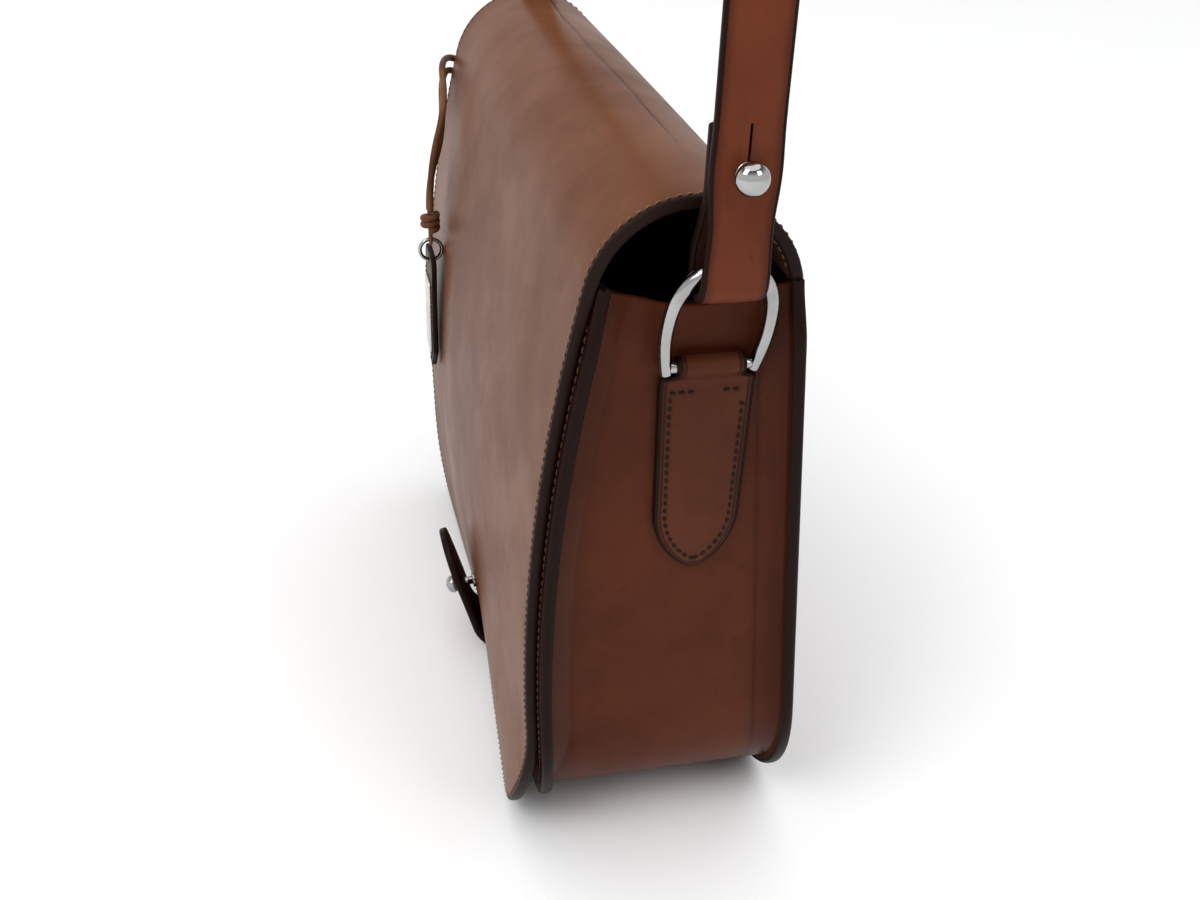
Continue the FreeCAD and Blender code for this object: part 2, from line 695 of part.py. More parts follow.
def make_stud(name, neck_length, head):
    """Ball stud about its own X axis: foot on the seat at zero, neck, ball, screw hole."""
    body = new_body(name)
    bore = "screw_shank / 2 + running_gap"
    neck = "stud_neck / 2"
    neck_end = "stud_foot_thick + %s" % neck_length
    ball_x = "%s + sqrt((%s) ^ 2 / 4 - (%s) ^ 2)" % (neck_end, head, neck)
    profile = [
        ("0", bore),
        ("screw_bite", bore),
        ("screw_bite", "0"),
        ("%s + %s / 2" % (ball_x, head), "0"),
        (ball_x, "%s / 2" % head, "%s / 2" % head, "left"),
        (neck_end, neck, "%s / 2" % head, "left"),
        ("stud_foot_thick", neck),
        ("stud_foot_thick", "stud_foot / 2"),
        ("0", "stud_foot / 2"),
    ]
    revolve(body, draw(body, name + "_profile", "XZ_Plane", [profile]))
    return body


def make_screw(name, grip):
    """Slotted screw about its own X axis: head below zero, shank up into the stud."""
    body = new_body(name)
    profile = [
        ("-(%s) - screw_head_thick" % grip, "0"),
        ("screw_bite - fit_gap", "0"),
        ("screw_bite - fit_gap", "screw_shank / 2"),
        ("-(%s)" % grip, "screw_shank / 2"),
        ("-(%s)" % grip, "screw_head / 2"),
        ("-(%s) - screw_head_thick" % grip, "screw_head / 2"),
    ]
    revolve(body, draw(body, name + "_profile", "XZ_Plane", [profile]))
    deep = "-(%s) - screw_head_thick / 2" % grip
    out = "-(%s) - screw_head_thick * 2" % grip
    slot = [
        (out, "-slit_width / 2"),
        (deep, "-slit_width / 2"),
        (deep, "slit_width / 2"),
        (out, "slit_width / 2"),
    ]
    cut_through(body, draw(body, name + "_slot", "XZ_Plane", [slot]))
    return body


def make_strap_studs():
    """A ball stud on each tail, its head through the keyhole, and the two screws."""
    screws = []
    for side, sign, angle in (("right", "", "0"), ("left", "-", "180")):
        stud = make_stud("strap_stud_" + side, "strap_thick + running_gap * 2", "stud_head")
        screw = make_screw("strap_screw_" + side, "strap_thick")
        for thing in (stud, screw):
            turn(thing, (0, 0, 1), angle)
            place(thing, "%sstud_seat_x" % sign, "0", "stud_z")
        keep(stud, "strap_stud_" + side)
        screws.append(screw)
    pair = doc.addObject("Part::Compound", "screw_pair")
    pair.Links = screws
    keep(pair, "strap_stud_screws")


def make_closure():
    """Closing tab, the strip that carries it under the bag, and its stud through the flap."""
    tab = new_body("closure_tab")
    half_thick = "tab_thick / 2"
    profile = [
        ("-(%s)" % half_thick, "0"),
        ("0", "-(%s)" % half_thick, half_thick, "left"),
        (half_thick, "0", half_thick, "left"),
        (half_thick, "tab_length"),
        ("-(%s)" % half_thick, "tab_length"),
    ]
    pad(tab, draw(tab, "tab_profile", "YZ_Plane", [profile]), "tab_width")
    half = "tab_width / 2"
    foot = "-tab_thick"
    shape = [
        ("-(%s)" % half, foot),
        (half, foot),
        (half, "tab_length - tab_tip"),
        ("%s - tab_tip" % half, "tab_length", "tab_tip", "left"),
        ("tab_tip - %s" % half, "tab_length"),
        ("-(%s)" % half, "tab_length - tab_tip", "tab_tip", "left"),
    ]
    trim(tab, "tab_outline", half, foot, "tab_length", shape)
    hole = "closure_head / 2 + button_play"
    hole_rise = "closure_rise + closure_head / 2"
    button = [
        ("-(%s)" % hole, "closure_rise"),
        ("0", "closure_rise - (%s)" % hole, hole, "left"),
        (hole, "closure_rise", hole, "left"),
        (hole, hole_rise),
        ("0", "%s + %s" % (hole_rise, hole), hole, "left"),
        ("-(%s)" % hole, hole_rise, hole, "left"),
    ]
    cut_through(tab, draw(tab, "buttonhole", "XZ_Plane", [button]))
    turn(tab, (1, 0, 0), "tab_lean")
    place(tab, "0", "tab_fold_y", "tab_fold_z")
    keep(tab, "closure_tab")

    anchor = new_body("closure_tab_anchor")
    end = "tab_fold_y + tab_thick / 2 + fit_gap"
    bend = "-(base_depth / 2 - leather * 2 - tab_thick / 4)"
    seat = "%s + tab_step" % bend
    low, high = "tab_floor", "tab_floor + tab_thick"
    strip = [
        (end, low),
        ("%s + tab_thick / 4" % bend, low),
        ("%s + tab_thick / 4" % seat, "seam_flange - tab_thick"),
        ("%s + tab_anchor" % seat, "seam_flange - tab_thick"),
        ("%s + tab_anchor" % seat, "seam_flange"),
        (seat, "seam_flange"),
        (bend, high),
        (end, high),
    ]
    pad(anchor, draw(anchor, "anchor_profile", "YZ_Plane", [strip]), "tab_width")
    keep(anchor, "closure_tab_anchor")

    reach = "closure_y - closure_tab_y - stud_foot_thick + fit_gap"
    stud = make_stud("closure_stud", reach, "closure_head")
    screw = make_screw("closure_stud_screw", "flap_skin + running_gap")
    tilt = FreeCAD.Rotation(FreeCAD.Vector(1, 0, 0), -value_of("closure_lean"))
    quarter = FreeCAD.Rotation(FreeCAD.Vector(0, 0, 1), -90)
    for thing in (stud, screw):
        thing.Placement = FreeCAD.Placement(FreeCAD.Vector(), tilt.multiply(quarter))
        place(thing, "0", "closure_y", "closure_z")
        keep(thing, thing.Name)


def make_lace():
    """Doubled lace as one tube; each bend is as wide as its two runs allow."""
    points = [FreeCAD.Vector(*p) for p in LACE_ROUTE]
    radii = []
    for index in range(1, len(points) - 1):
        back = points[index - 1] - points[index]
        ahead = points[index + 1] - points[index]
        half_turn = (math.pi - back.getAngle(ahead)) / 2
        radii.append(ARC_SHARE * min(back.Length, ahead.Length) / math.tan(half_turn))
    wire = route_wire(points, radii)
    print("lace length %.1f mm, radii %s" % (wire.Length, [round(r, 1) for r in radii]))
    section = doc.addObject("Part::Circle", "lace_section")
    tie(section, Radius="lace / 2")
    heading = FreeCAD.Rotation(FreeCAD.Vector(0, 0, 1), points[1] - points[0])
    section.Placement = FreeCAD.Placement(points[0], heading)
    doc.recompute()
    return keep(sweep("lace_tube", section, path_object("lace_middle", wire)), "tag_lace")


def make_tag():
    """Knot with an eye, ring, leather tag and its bare metal plate, hung on the lace."""
    ends = [FreeCAD.Vector(*LACE_ROUTE[0]), FreeCAD.Vector(*LACE_ROUTE[-1])]
    seat = (ends[0] + ends[1]) * 0.5

    knot = new_body("tag_knot")
    waist = "knot_waist"
    wrap = "knot_height / 4"
    barrel = [
        ("0", "0"),
        ("knot_height", "0"),
        ("knot_height", waist),
        ("knot_height - %s" % wrap, "knot_radius", "knot_radius", "left"),
        ("knot_height / 2", waist, "knot_radius", "left"),
        (wrap, "knot_radius", "knot_radius", "left"),
        ("0", waist, "knot_radius", "left"),
    ]
    sketch = draw(knot, "knot_profile", "XZ_Plane", [barrel])
    revolve(knot, sketch)
    eye_x = "knot_height + lug_length - lug_width / 2"
    lug = [
        ("knot_height - fit_gap", "-lug_width / 2"),
        (eye_x, "-lug_width / 2"),
        ("%s + lug_width / 2" % eye_x, "0", "lug_width / 2", "left"),
        (eye_x, "lug_width / 2", "lug_width / 2", "left"),
        ("knot_height - fit_gap", "lug_width / 2"),
    ]
    pad(knot, draw(knot, "knot_lug", "XZ_Plane", [lug]), "lug_thick")
    eye = (eye_x, "0", "tag_ring_wire / 2 + lug_play")
    cut_through(knot, draw(knot, "knot_eye", "XZ_Plane", circles=[eye]))
    knot.Placement = FreeCAD.Placement(seat, FreeCAD.Rotation(FreeCAD.Vector(0, 1, 0), 90))
    keep(knot, "tag_knot")

    eye_z = seat.z - value_of(eye_x)
    ring = doc.addObject("Part::Torus", "tag_ring")
    tie(ring, Radius1="tag_ring_radius", Radius2="tag_ring_wire / 2")
    centre = FreeCAD.Vector(seat.x, seat.y, eye_z - value_of("tag_ring_radius"))
    ring.Placement = FreeCAD.Placement(centre, FreeCAD.Rotation(FreeCAD.Vector(0, 1, 0), 90))
    keep(ring, "tag_ring")

    tag = new_body("hang_tag")
    half = "tag_width / 2"
    crown = "tag_corner"
    shape = [
        ("-(%s)" % half, "-tag_length + tag_point + %s" % crown),
        ("0", "-tag_length + %s" % crown),
        (half, "-tag_length + tag_point + %s" % crown),
        (half, "0"),
        ("%s - %s" % (half, crown), crown, crown, "left"),
        ("%s - %s" % (crown, half), crown),
        ("-(%s)" % half, "0", crown, "left"),
    ]
    outline = draw(tag, "tag_outline", "XZ_Plane", [shape], [("0", "0", "tag_eye")])
    pad(tag, outline, "tag_thick")
    eye_place = centre - FreeCAD.Vector(0, 0, value_of("tag_ring_radius"))
    tag.Placement = FreeCAD.Placement(eye_place, FreeCAD.Rotation())
    keep(tag, "hang_tag")

    plate = new_body("tag_plate")
    half = "plate_width / 2"
    corner = "plate_corner"
    low = "-plate_length / 2"
    shape = [
        ("-(%s)" % half, "%s + %s" % (low, corner)),
        ("%s - %s" % (corner, half), low, corner, "left"),
        ("%s - %s" % (half, corner), low),
        (half, "%s + %s" % (low, corner), corner, "left"),
        (half, "-(%s) - %s" % (low, corner)),
        ("%s - %s" % (half, corner), "-(%s)" % low, corner, "left"),
        ("%s - %s" % (corner, half), "-(%s)" % low),
        ("-(%s)" % half, "-(%s) - %s" % (low, corner), corner, "left"),
    ]
    pad(plate, draw(plate, "plate_outline", "XZ_Plane", [shape]), "plate_thick")
    front = value_of("tag_thick + plate_thick") / 2
    drop = value_of("tag_length - tag_corner") / 2
    plate.Placement = FreeCAD.Placement(eye_place - FreeCAD.Vector(0, front, drop), FreeCAD.Rotation())
    keep(plate, "tag_plate")


def check_and_write():
    """Stop on any failed object or bad shape, then write one file per sub-part."""
    doc.recompute()
    for thing in doc.Objects:
        if {"Invalid", "Error"} & set(thing.State):
            raise RuntimeError("%s failed: %s" % (thing.Name, thing.State))
    for thing in parts:
        if thing.Shape.isNull() or not thing.Shape.isValid() or not thing.Shape.Solids:
            raise RuntimeError("%s has a bad shape" % thing.Label)
    os.makedirs("parts", exist_ok=True)
    for thing in parts:
        thing.Shape.exportStep("parts/%s.step" % thing.Label)
        box = thing.Shape.BoundBox
        print("%-20s %d solid(s) %9.0f mm3  x %.1f %.1f  y %.1f %.1f  z %.1f %.1f" % (
            thing.Label, len(thing.Shape.Solids), thing.Shape.Volume,
            box.XMin, box.XMax, box.YMin, box.YMax, box.ZMin, box.ZMax))


fill_sheets()
make_shell()
make_flap()
for ring_side, ring_sign in (("right", ""), ("left", "-")):
    make_chape("chape_" + ring_side, ring_sign)
    make_ring("d_ring_" + ring_side, ring_sign)
make_strap()
make_strap_studs()
make_closure()
make_lace()
make_tag()
check_and_write()
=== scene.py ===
"""Looks of the saddle handbag, built round its packed construction.

Lengths in this file are millimetres, and become metres when a mesh is made. X runs across the
bag, -Y is the front under the flap and Z is up, as in the construction.
"""

import logging
from dataclasses import dataclass, field
from enum import Enum
from typing import Optional, Sequence

import bpy
import numpy as np
from bpy.types import Material, Node, NodeSocket, NodeTree, Object
from mathutils import Matrix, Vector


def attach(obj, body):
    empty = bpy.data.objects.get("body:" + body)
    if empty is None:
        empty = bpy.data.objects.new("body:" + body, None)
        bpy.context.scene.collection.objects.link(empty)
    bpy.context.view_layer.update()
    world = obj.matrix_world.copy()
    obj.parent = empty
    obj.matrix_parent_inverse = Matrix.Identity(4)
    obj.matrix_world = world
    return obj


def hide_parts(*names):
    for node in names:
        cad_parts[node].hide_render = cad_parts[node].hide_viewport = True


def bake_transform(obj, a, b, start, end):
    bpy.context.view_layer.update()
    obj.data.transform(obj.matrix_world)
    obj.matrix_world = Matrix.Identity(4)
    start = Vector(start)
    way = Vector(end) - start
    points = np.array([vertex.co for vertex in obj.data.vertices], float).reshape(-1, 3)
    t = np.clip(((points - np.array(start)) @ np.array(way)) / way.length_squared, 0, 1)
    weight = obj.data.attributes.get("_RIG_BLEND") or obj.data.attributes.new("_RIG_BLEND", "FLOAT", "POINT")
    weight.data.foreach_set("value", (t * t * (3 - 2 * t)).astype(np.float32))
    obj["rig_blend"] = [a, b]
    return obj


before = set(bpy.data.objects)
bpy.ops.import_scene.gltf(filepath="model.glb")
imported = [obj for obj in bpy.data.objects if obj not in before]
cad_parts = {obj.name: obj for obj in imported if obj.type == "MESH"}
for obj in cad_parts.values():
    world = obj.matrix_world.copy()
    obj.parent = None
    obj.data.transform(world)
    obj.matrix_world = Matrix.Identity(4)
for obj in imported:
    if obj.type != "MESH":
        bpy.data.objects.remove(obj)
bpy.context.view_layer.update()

Array = np.ndarray
Colour = tuple[float, float, float]
Place = tuple[float, float, float]
Span = tuple[float, float]
Ramp = tuple[float, float, float, float]
UNIT_SPAN = (0.0, 1.0)
MM = 0.001
TINY = 1e-9
FEWEST_STEPS = 8
FAR_FROM_RIM = 20.0
TIP_SHARE = 0.05
ODD_WAY = (0.31, 0.52, 0.79)
SHARP = 0.01
CORNER_START = 0.04
HOLE_ROOM = 1.001
UPRIGHT = 0.9
LOG = logging.getLogger("saddle_handbag")


class Attr(str, Enum):
    """Names of the mesh attributes that the finishes read."""

    RIM = "rim_mm"
    BACK = "flesh_side"
    # Painted shade along creases and folds.
    MARK = "crease_shade"


class Side(Enum):
    """The two ends of the bag."""

    RIGHT = 1.0
    LEFT = -1.0


# Shapes as arrays


def unit(vectors: Array) -> Array:
    """Vectors scaled to length one along the last axis."""
    return vectors / np.maximum(np.linalg.norm(vectors, axis=-1, keepdims=True), TINY)


def held(x: Array) -> Array:
    """Values held between 0 and 1."""
    return np.clip(x, *UNIT_SPAN)


def ease(low: float, high: float, x: Array) -> Array:
    """Smooth step from 0 at low to 1 at high."""
    t = held((np.asarray(x, float) - low) / (high - low))
    return t * t * (3.0 - 2.0 * t)


def mirrored(steps: Sequence[float], half: float) -> Array:
    """Columns from -1 to 1 that lie at the given distances from both edges.

    Args:
        steps: distances from an edge, rising, the last one short of the middle.
        half: half of the width that the distances are meant for.

    Returns:
        Rising column places as shares of the half width.
    """
    right = 1.0 - np.asarray(steps, float) / half
    return np.concatenate([-right, [0.0], right[::-1]])


def both_ways(places: Sequence[float]) -> Array:
    """Columns from -1 to 1 at falling distances from the middle, the last of them zero."""
    right = np.asarray(places, float) / places[0]
    return np.concatenate([-right, right[:-1][::-1]])


def running(points: Array) -> Array:
    """Length along a polyline at each of its points."""
    return np.concatenate([[0.0], np.cumsum(np.linalg.norm(np.diff(points, axis=0), axis=1))])


def rounded(points: Array, sigma: float, spacing: float = 0.5) -> Array:
    """Polyline resampled evenly and blurred along itself, with its two ends kept.

    Args:
        points: corners, one per row.
        sigma: width of the blur along the line.
        spacing: distance between the new points.

    Returns:
        The new points.
    """
    run = running(points)
    count = max(int(run[-1] / spacing), FEWEST_STEPS)
    even = np.linspace(0.0, run[-1], count + 1)
    line = np.stack([np.interp(even, run, column) for column in points.T], axis=1)
    reach = min(int(3 * sigma / spacing), count - 1)
    if reach < 1:
        return line
    head = 2 * line[0] - line[1:reach + 1][::-1]
    tail = 2 * line[-1] - line[-reach - 1:-1][::-1]
    long = np.concatenate([head, line, tail])
    kernel = np.exp(-0.5 * (np.arange(-reach, reach + 1) * spacing / sigma) ** 2)
    kernel /= kernel.sum()
    return np.stack([np.convolve(column, kernel, "valid") for column in long.T], axis=1)


def arc(centre: Sequence[float], radius: float, start: float, end: float, count: int = 40) -> Array:
    """Points of a plane arc, its angles in degrees."""
    angle = np.radians(np.linspace(start, end, count))
    return np.stack([centre[0] + radius * np.cos(angle), centre[1] + radius * np.sin(angle)], axis=1)


class Track:
    """Plane curve that is read by the length along it."""

    def __init__(self, points: Array) -> None:
        """Keep the points and the running length at each."""
        self.points = points
        self.run = running(points)

    @property
    def length(self) -> float:
        """Length of the whole curve."""
        return float(self.run[-1])

    def at(self, s: Array) -> tuple[Array, Array]:
        """The two coordinates at a length along the curve."""
        return np.interp(s, self.run, self.points[:, 0]), np.interp(s, self.run, self.points[:, 1])

    def normal(self, s: Array, step: float = 1.5) -> tuple[Array, Array]:
        """Unit normal to the left of the way along the curve."""
        low, high = self.at(np.maximum(s - step, 0.0)), self.at(np.minimum(s + step, self.length))
        a, b = high[0] - low[0], high[1] - low[1]
        size = np.maximum(np.hypot(a, b), TINY)
        return -b / size, a / size


# Meshes


def linked(name: str, data: bpy.types.ID) -> Object:
    """New object on its data, linked to the scene."""
    piece = bpy.data.objects.new(name, data)
    bpy.context.scene.collection.objects.link(piece)
    return piece


def link_mesh(name: str, points: Array, faces: Array, attributes: Optional[dict[str, Array]] = None,
              ) -> Object:
    """Make a smooth mesh object at the origin.

    Args:
        name: name of the piece.
        points: corners in millimetres, one per row.
        faces: four corner numbers per row.
        attributes: values per corner, by attribute name.

    Returns:
        The new object, linked to the scene.
    """
    mesh = bpy.data.meshes.new(name)
    count = len(faces)
    mesh.vertices.add(len(points))
    mesh.vertices.foreach_set("co", (points * MM).astype(np.float32).ravel())
    mesh.loops.add(count * 4)
    mesh.loops.foreach_set("vertex_index", faces.astype(np.int32).ravel())
    mesh.polygons.add(count)
    mesh.polygons.foreach_set("loop_start", np.arange(0, count * 4, 4, dtype=np.int32))
    mesh.update(calc_edges=True)
    mesh.validate()
    mesh.polygons.foreach_set("use_smooth", np.ones(len(mesh.polygons), dtype=bool))
    for key, values in (attributes or {}).items():
        layer = mesh.attributes.new(key, "FLOAT", "POINT")
        layer.data.foreach_set("value", values.astype(np.float32).ravel())
    return linked(name, mesh)


def quads_of(index: Array) -> Array:
    """Faces of a grid of corner numbers, wound so that columns then rows turn left."""
    ring = (index[:-1, :-1], index[:-1, 1:], index[1:, 1:], index[1:, :-1])
    return np.stack(ring, axis=-1)


def ring_quads(rings: int, sides: int) -> Array:
    """Faces between rings of points that each close on their first corner."""
    index = np.arange(rings * sides).reshape(rings, sides)
    return quads_of(np.concatenate([index, index[:, :1]], axis=1)).reshape(-1, 4)


def turns(sides: int) -> Array:
    """Angles of the corners of a round section."""
    return 2 * np.pi * np.arange(sides) / sides


def boundary_of(rows: int, columns: int) -> tuple[Array, Array]:
    """Row and column numbers once round the edge of a grid, against the clock."""
    i = np.concatenate([np.zeros(columns - 1), np.arange(rows - 1), np.full(columns - 1, rows - 1),
                        np.arange(rows - 1, 0, -1)])
    j = np.concatenate([np.arange(columns - 1), np.full(rows - 1, columns - 1),
                        np.arange(columns - 1, 0, -1), np.zeros(rows - 1)])
    return i.astype(int), j.astype(int)


def hole_walls(keep: Array, outer: Array, inner: Array) -> list[Array]:
    """Faces through the thickness wherever a kept cell of a grid meets a dropped one."""
    walls = []
    for axis, step in ((0, 1), (0, -1), (1, 1), (1, -1)):
        beyond = np.roll(keep, -step, axis=axis)
        i, j = np.nonzero(keep & ~beyond)
        if axis == 0:
            row = i + (1 if step > 0 else 0)
            a, b = (row, j + 1), (row, j)
        else:
            column = j + (1 if step > 0 else 0)
            a, b = (i, column), (i + 1, column)
        if step < 0:
            a, b = b, a
        walls.append(np.stack([outer[a], outer[b], inner[b], inner[a]], axis=-1))
    return walls


@dataclass(frozen=True)
class Rim:
    """Rounded edge of a leather sheet."""

    bulge: float = 0.7
    groove: float = 0.0
    loops: int = 5
    groove_angle: float = 0.3


def sheet_mesh(name: str, middle: Array, thick: Array | float, rim_mm: Array, rim: Rim = Rim(),
               dropped: Optional[Array] = None, mark: Optional[Array] = None) -> Object:
    """Closed leather sheet: two faces half a thickness either side of a middle surface, joined
    round the edge by loops on a half ellipse.

    Args:
        name: name of the piece.
        middle: grid of points, rows along and columns across.
        thick: thickness, one number or one per point.
        rim_mm: distance of each point from the painted edge.
        rim: form of the edge; groove is the sink of its middle line between two leathers.
        dropped: cells left out as a hole.
        mark: share of painted shade along a crease at each point.

    Returns:
        The piece, with the attributes that the leather finishes read.
    """
    rows, columns = middle.shape[:2]
    normal = unit(np.cross(np.gradient(middle, axis=1), np.gradient(middle, axis=0)))
    half = np.broadcast_to(np.asarray(thick, float), (rows, columns))[..., None] / 2
    outer, inner = middle + normal * half, middle - normal * half
    i, j = boundary_of(rows, columns)
    loop = middle[i, j]
    way = unit(np.roll(loop, -1, axis=0) - np.roll(loop, 1, axis=0))
    out = unit(np.cross(way, normal[i, j]))
    angle = np.pi * np.arange(1, rim.loops + 1) / (rim.loops + 1)
    sink = 1.0 - rim.groove * np.exp(-((angle - np.pi / 2) / rim.groove_angle) ** 2)
    loops = (loop + normal[i, j] * half[i, j] * np.cos(angle)[:, None, None]
             + out * rim.bulge * (np.sin(angle) * sink)[:, None, None])
    size = rows * columns
    front = np.arange(size).reshape(rows, columns)
    back = front + size
    keep = np.ones((rows - 1, columns - 1), bool) if dropped is None else ~dropped
    faces = [quads_of(front)[keep], quads_of(back)[keep][:, ::-1]]
    if dropped is not None:
        faces += hole_walls(keep, front, back)
    between = 2 * size + np.arange(rim.loops * len(i)).reshape(rim.loops, -1)
    ring = np.concatenate([front[i, j][None], between, back[i, j][None]])
    after = np.roll(ring, -1, axis=1)
    faces.append(np.stack([ring[:-1], ring[1:], after[1:], after[:-1]], axis=-1).reshape(-1, 4))
    points = np.concatenate([outer.reshape(-1, 3), inner.reshape(-1, 3), loops.reshape(-1, 3)])
    edge = np.broadcast_to(rim_mm[i, j], (rim.loops, len(i))).ravel()
    # Painted crease shade at each point of the outer face.
    crease = np.zeros(size) if mark is None else mark.ravel()
    values = {
        Attr.RIM.value: np.concatenate([rim_mm.ravel(), rim_mm.ravel(), edge]),
        Attr.BACK.value: np.concatenate([np.zeros(size), np.ones(size), np.zeros(edge.size)]),
        Attr.MARK.value: np.concatenate([crease, np.zeros(size + edge.size)]),
    }
    return link_mesh(name, points, np.concatenate([f.reshape(-1, 4) for f in faces]), values)


def tube_mesh(name: str, centre: Array, radius: float, sides: int, lean: Sequence[float] = ODD_WAY,
              ) -> Object:
    """Round section carried along a line, its ends drawn in to a point.

    Args:
        name: name of the piece.
        centre: points of the line.
        radius: radius of the section.
        sides: corners of the section.
        lean: direction that no part of the line follows; it orients the section.

    Returns:
        The piece.
    """
    way = unit(np.gradient(centre, axis=0))
    side = unit(np.cross(way, np.asarray(lean, float)))
    other = np.cross(way, side)
    angle = turns(sides)
    rings = np.concatenate([[0], np.arange(len(centre)), [len(centre) - 1]])
    size = np.full(len(rings), float(radius))
    size[[0, -1]] *= TIP_SHARE
    spoke = (side[rings][:, None] * np.cos(angle)[None, :, None]
             + other[rings][:, None] * np.sin(angle)[None, :, None])
    points = (centre[rings][:, None] + size[:, None, None] * spoke).reshape(-1, 3)
    values = {Attr.RIM.value: np.full(len(points), FAR_FROM_RIM), Attr.BACK.value: np.zeros(len(points))}
    return link_mesh(name, points, ring_quads(len(rings), sides), values)


def turned_mesh(name: str, profile: Array, origin: Sequence[float], axis: Sequence[float],
                sides: int = 48) -> Object:
    """Profile of (along, radius) turned once about an axis through an origin."""
    way = unit(np.asarray(axis, float))
    helper = np.array([0.0, 0.0, 1.0]) if abs(way[2]) < UPRIGHT else np.array([0.0, 1.0, 0.0])
    side = unit(np.cross(helper, way))
    other = np.cross(way, side)
    angle = turns(sides)
    spoke = np.cos(angle)[:, None] * side + np.sin(angle)[:, None] * other
    points = (np.asarray(origin, float) + profile[:, None, :1] * way
              + profile[:, None, 1:] * spoke[None])
    return link_mesh(name, points.reshape(-1, 3), ring_quads(len(profile), sides))


@dataclass(frozen=True)
class Thread:
    """Size of one stitch: its pitch, length, thickness, slant, how proud it stands, and its corners."""

    pitch: float = 3.2
    length: float = 2.5
    width: float = 0.62
    slant: float = 0.16
    rise: float = 0.22
    sink: float = 1.6
    tip: float = 0.02
    rings: int = 6
    sides: int = 6


def stitch_mesh(name: str, centre: Array, along: Array, normal: Array, thread: Thread) -> Object:
    """Row of stitches: each is a short tube, thin at its ends, that arches out of the leather.

    Args:
        name: name of the piece.
        centre: middle of each stitch on the surface.
        along: direction of the seam at each.
        normal: outward direction at each.
        thread: sizes of a stitch.

    Returns:
        One mesh with every stitch of the row.
    """
    rows, sides = thread.rings, thread.sides
    t = np.linspace(-1.0, 1.0, rows)
    thin = np.sqrt(np.clip(1.0 + thread.tip - t ** 2, thread.tip, 1.0))
    angle = turns(sides)
    a = np.repeat(t * thread.length / 2, sides)
    b = (thin[:, None] * np.cos(angle)).ravel() * thread.width / 2
    c = (thin[:, None] * np.sin(angle)).ravel() * thread.width / 2
    c = c + np.repeat(thread.rise * (1.0 - thread.sink * t ** 2), sides)
    across = unit(np.cross(normal, along))
    way = unit(along + thread.slant * across)
    across = unit(np.cross(normal, way))
    points = (centre[:, None] + way[:, None] * a[None, :, None] + across[:, None] * b[None, :, None]
              + normal[:, None] * c[None, :, None])
    first = np.arange(len(centre)) * rows * sides
    faces = (ring_quads(rows, sides)[None] + first[:, None, None]).reshape(-1, 4)
    return link_mesh(name, points.reshape(-1, 3), faces)


# Outlines and leather pieces


@dataclass(frozen=True)
class Outline:
    """Shape of a flat cut: rows up from the foot and the half width at each."""

    rows: Array
    half: Array
    foot_points: int = 60
    spacing: float = 0.4

    def grid(self, columns: Array) -> tuple[Array, Array]:
        """Across and along values of a grid that fills the shape."""
        u = self.half[:, None] * columns[None, :]
        return u, np.broadcast_to(self.rows[:, None], u.shape)

    def border(self, inset: float) -> Array:
        """Line inside the edge, from the top left round the foot to the top right."""
        foot = np.linspace(-self.half[0], self.half[0], self.foot_points)[1:-1]
        left = np.stack([-self.half[::-1], self.rows[::-1]], axis=1)
        right = np.stack([self.half, self.rows], axis=1)
        middle = np.stack([foot, np.full(foot.size, self.rows[0])], axis=1)
        line = rounded(np.concatenate([left, middle, right]), SHARP, self.spacing)
        way = unit(np.gradient(line, axis=0))
        return line + inset * np.stack([-way[:, 1], way[:, 0]], axis=1)

    def stitches(self, inset: float, pitch: float, ends: float = 4.0) -> Array:
        """Places along the border at an even pitch, clear of its two ends."""
        track = Track(self.border(inset))
        count = int((track.length - 2 * ends) / pitch)
        return np.stack(track.at(ends + pitch * (np.arange(count) + 0.5)), axis=1)


def panel_outline(half: float, top: float, radius: float, corner_rows: int = 26, side_rows: int = 60,
                  ) -> Outline:
    """Straight top and sides, lower corners of one radius, standing on a foot at zero."""
    turn = np.linspace(CORNER_START, np.pi / 2, corner_rows)
    rows = np.concatenate([radius * (1 - np.cos(turn)), np.linspace(radius, top, side_rows)[1:]])
    width = np.concatenate([half - radius + radius * np.sin(turn), np.full(side_rows - 1, half)])
    return Outline(rows, width)


def panel_rim(u: Array, s: Array, half: float, radius: float) -> Array:
    """Distance from the sides, foot and rounded lower corners of a panel outline."""
    dx, ds = np.abs(u) - (half - radius), radius - s
    round_corner = radius - np.hypot(np.maximum(dx, 0), np.maximum(ds, 0))
    return np.maximum(np.where((dx > 0) & (ds > 0), round_corner, np.minimum(half - np.abs(u), s)), 0.0)


def pierce(u: Array, s: Array, centre: Sequence[float], reach: float, radius: float, patch: float,
           ) -> tuple[Array, Array, Array]:
    """Draw a grid's lines round a hole with round ends.

    A square of side two radii, lengthened by the reach, is pulled onto the hole's edge, and the
    pull fades out at the patch's edge.

    Args:
        u: across values of the grid.
        s: along values of the grid.
        centre: middle of the hole.
        reach: half of the hole's straight length, along.
        radius: radius of its ends; the grid has lines at one radius from the middle.
        patch: distance from the hole's middle line at which the grid is as it was.

    Returns:
        New across and along values, and the cells inside the hole.
    """
    du, ds = u - centre[0], s - centre[1]
    dv = np.sign(ds) * np.maximum(np.abs(ds) - reach, 0.0)
    square, circle = np.maximum(np.abs(du), np.abs(dv)), np.maximum(np.hypot(du, dv), TINY)
    pull = held((patch - square) / (patch - radius))
    scale = 1.0 + pull * (square / circle - 1.0)
    inside = square <= radius * HOLE_ROOM
    cells = inside[:-1, :-1] & inside[1:, :-1] & inside[:-1, 1:] & inside[1:, 1:]
    return centre[0] + du * scale, centre[1] + ds + dv * (scale - 1.0), cells


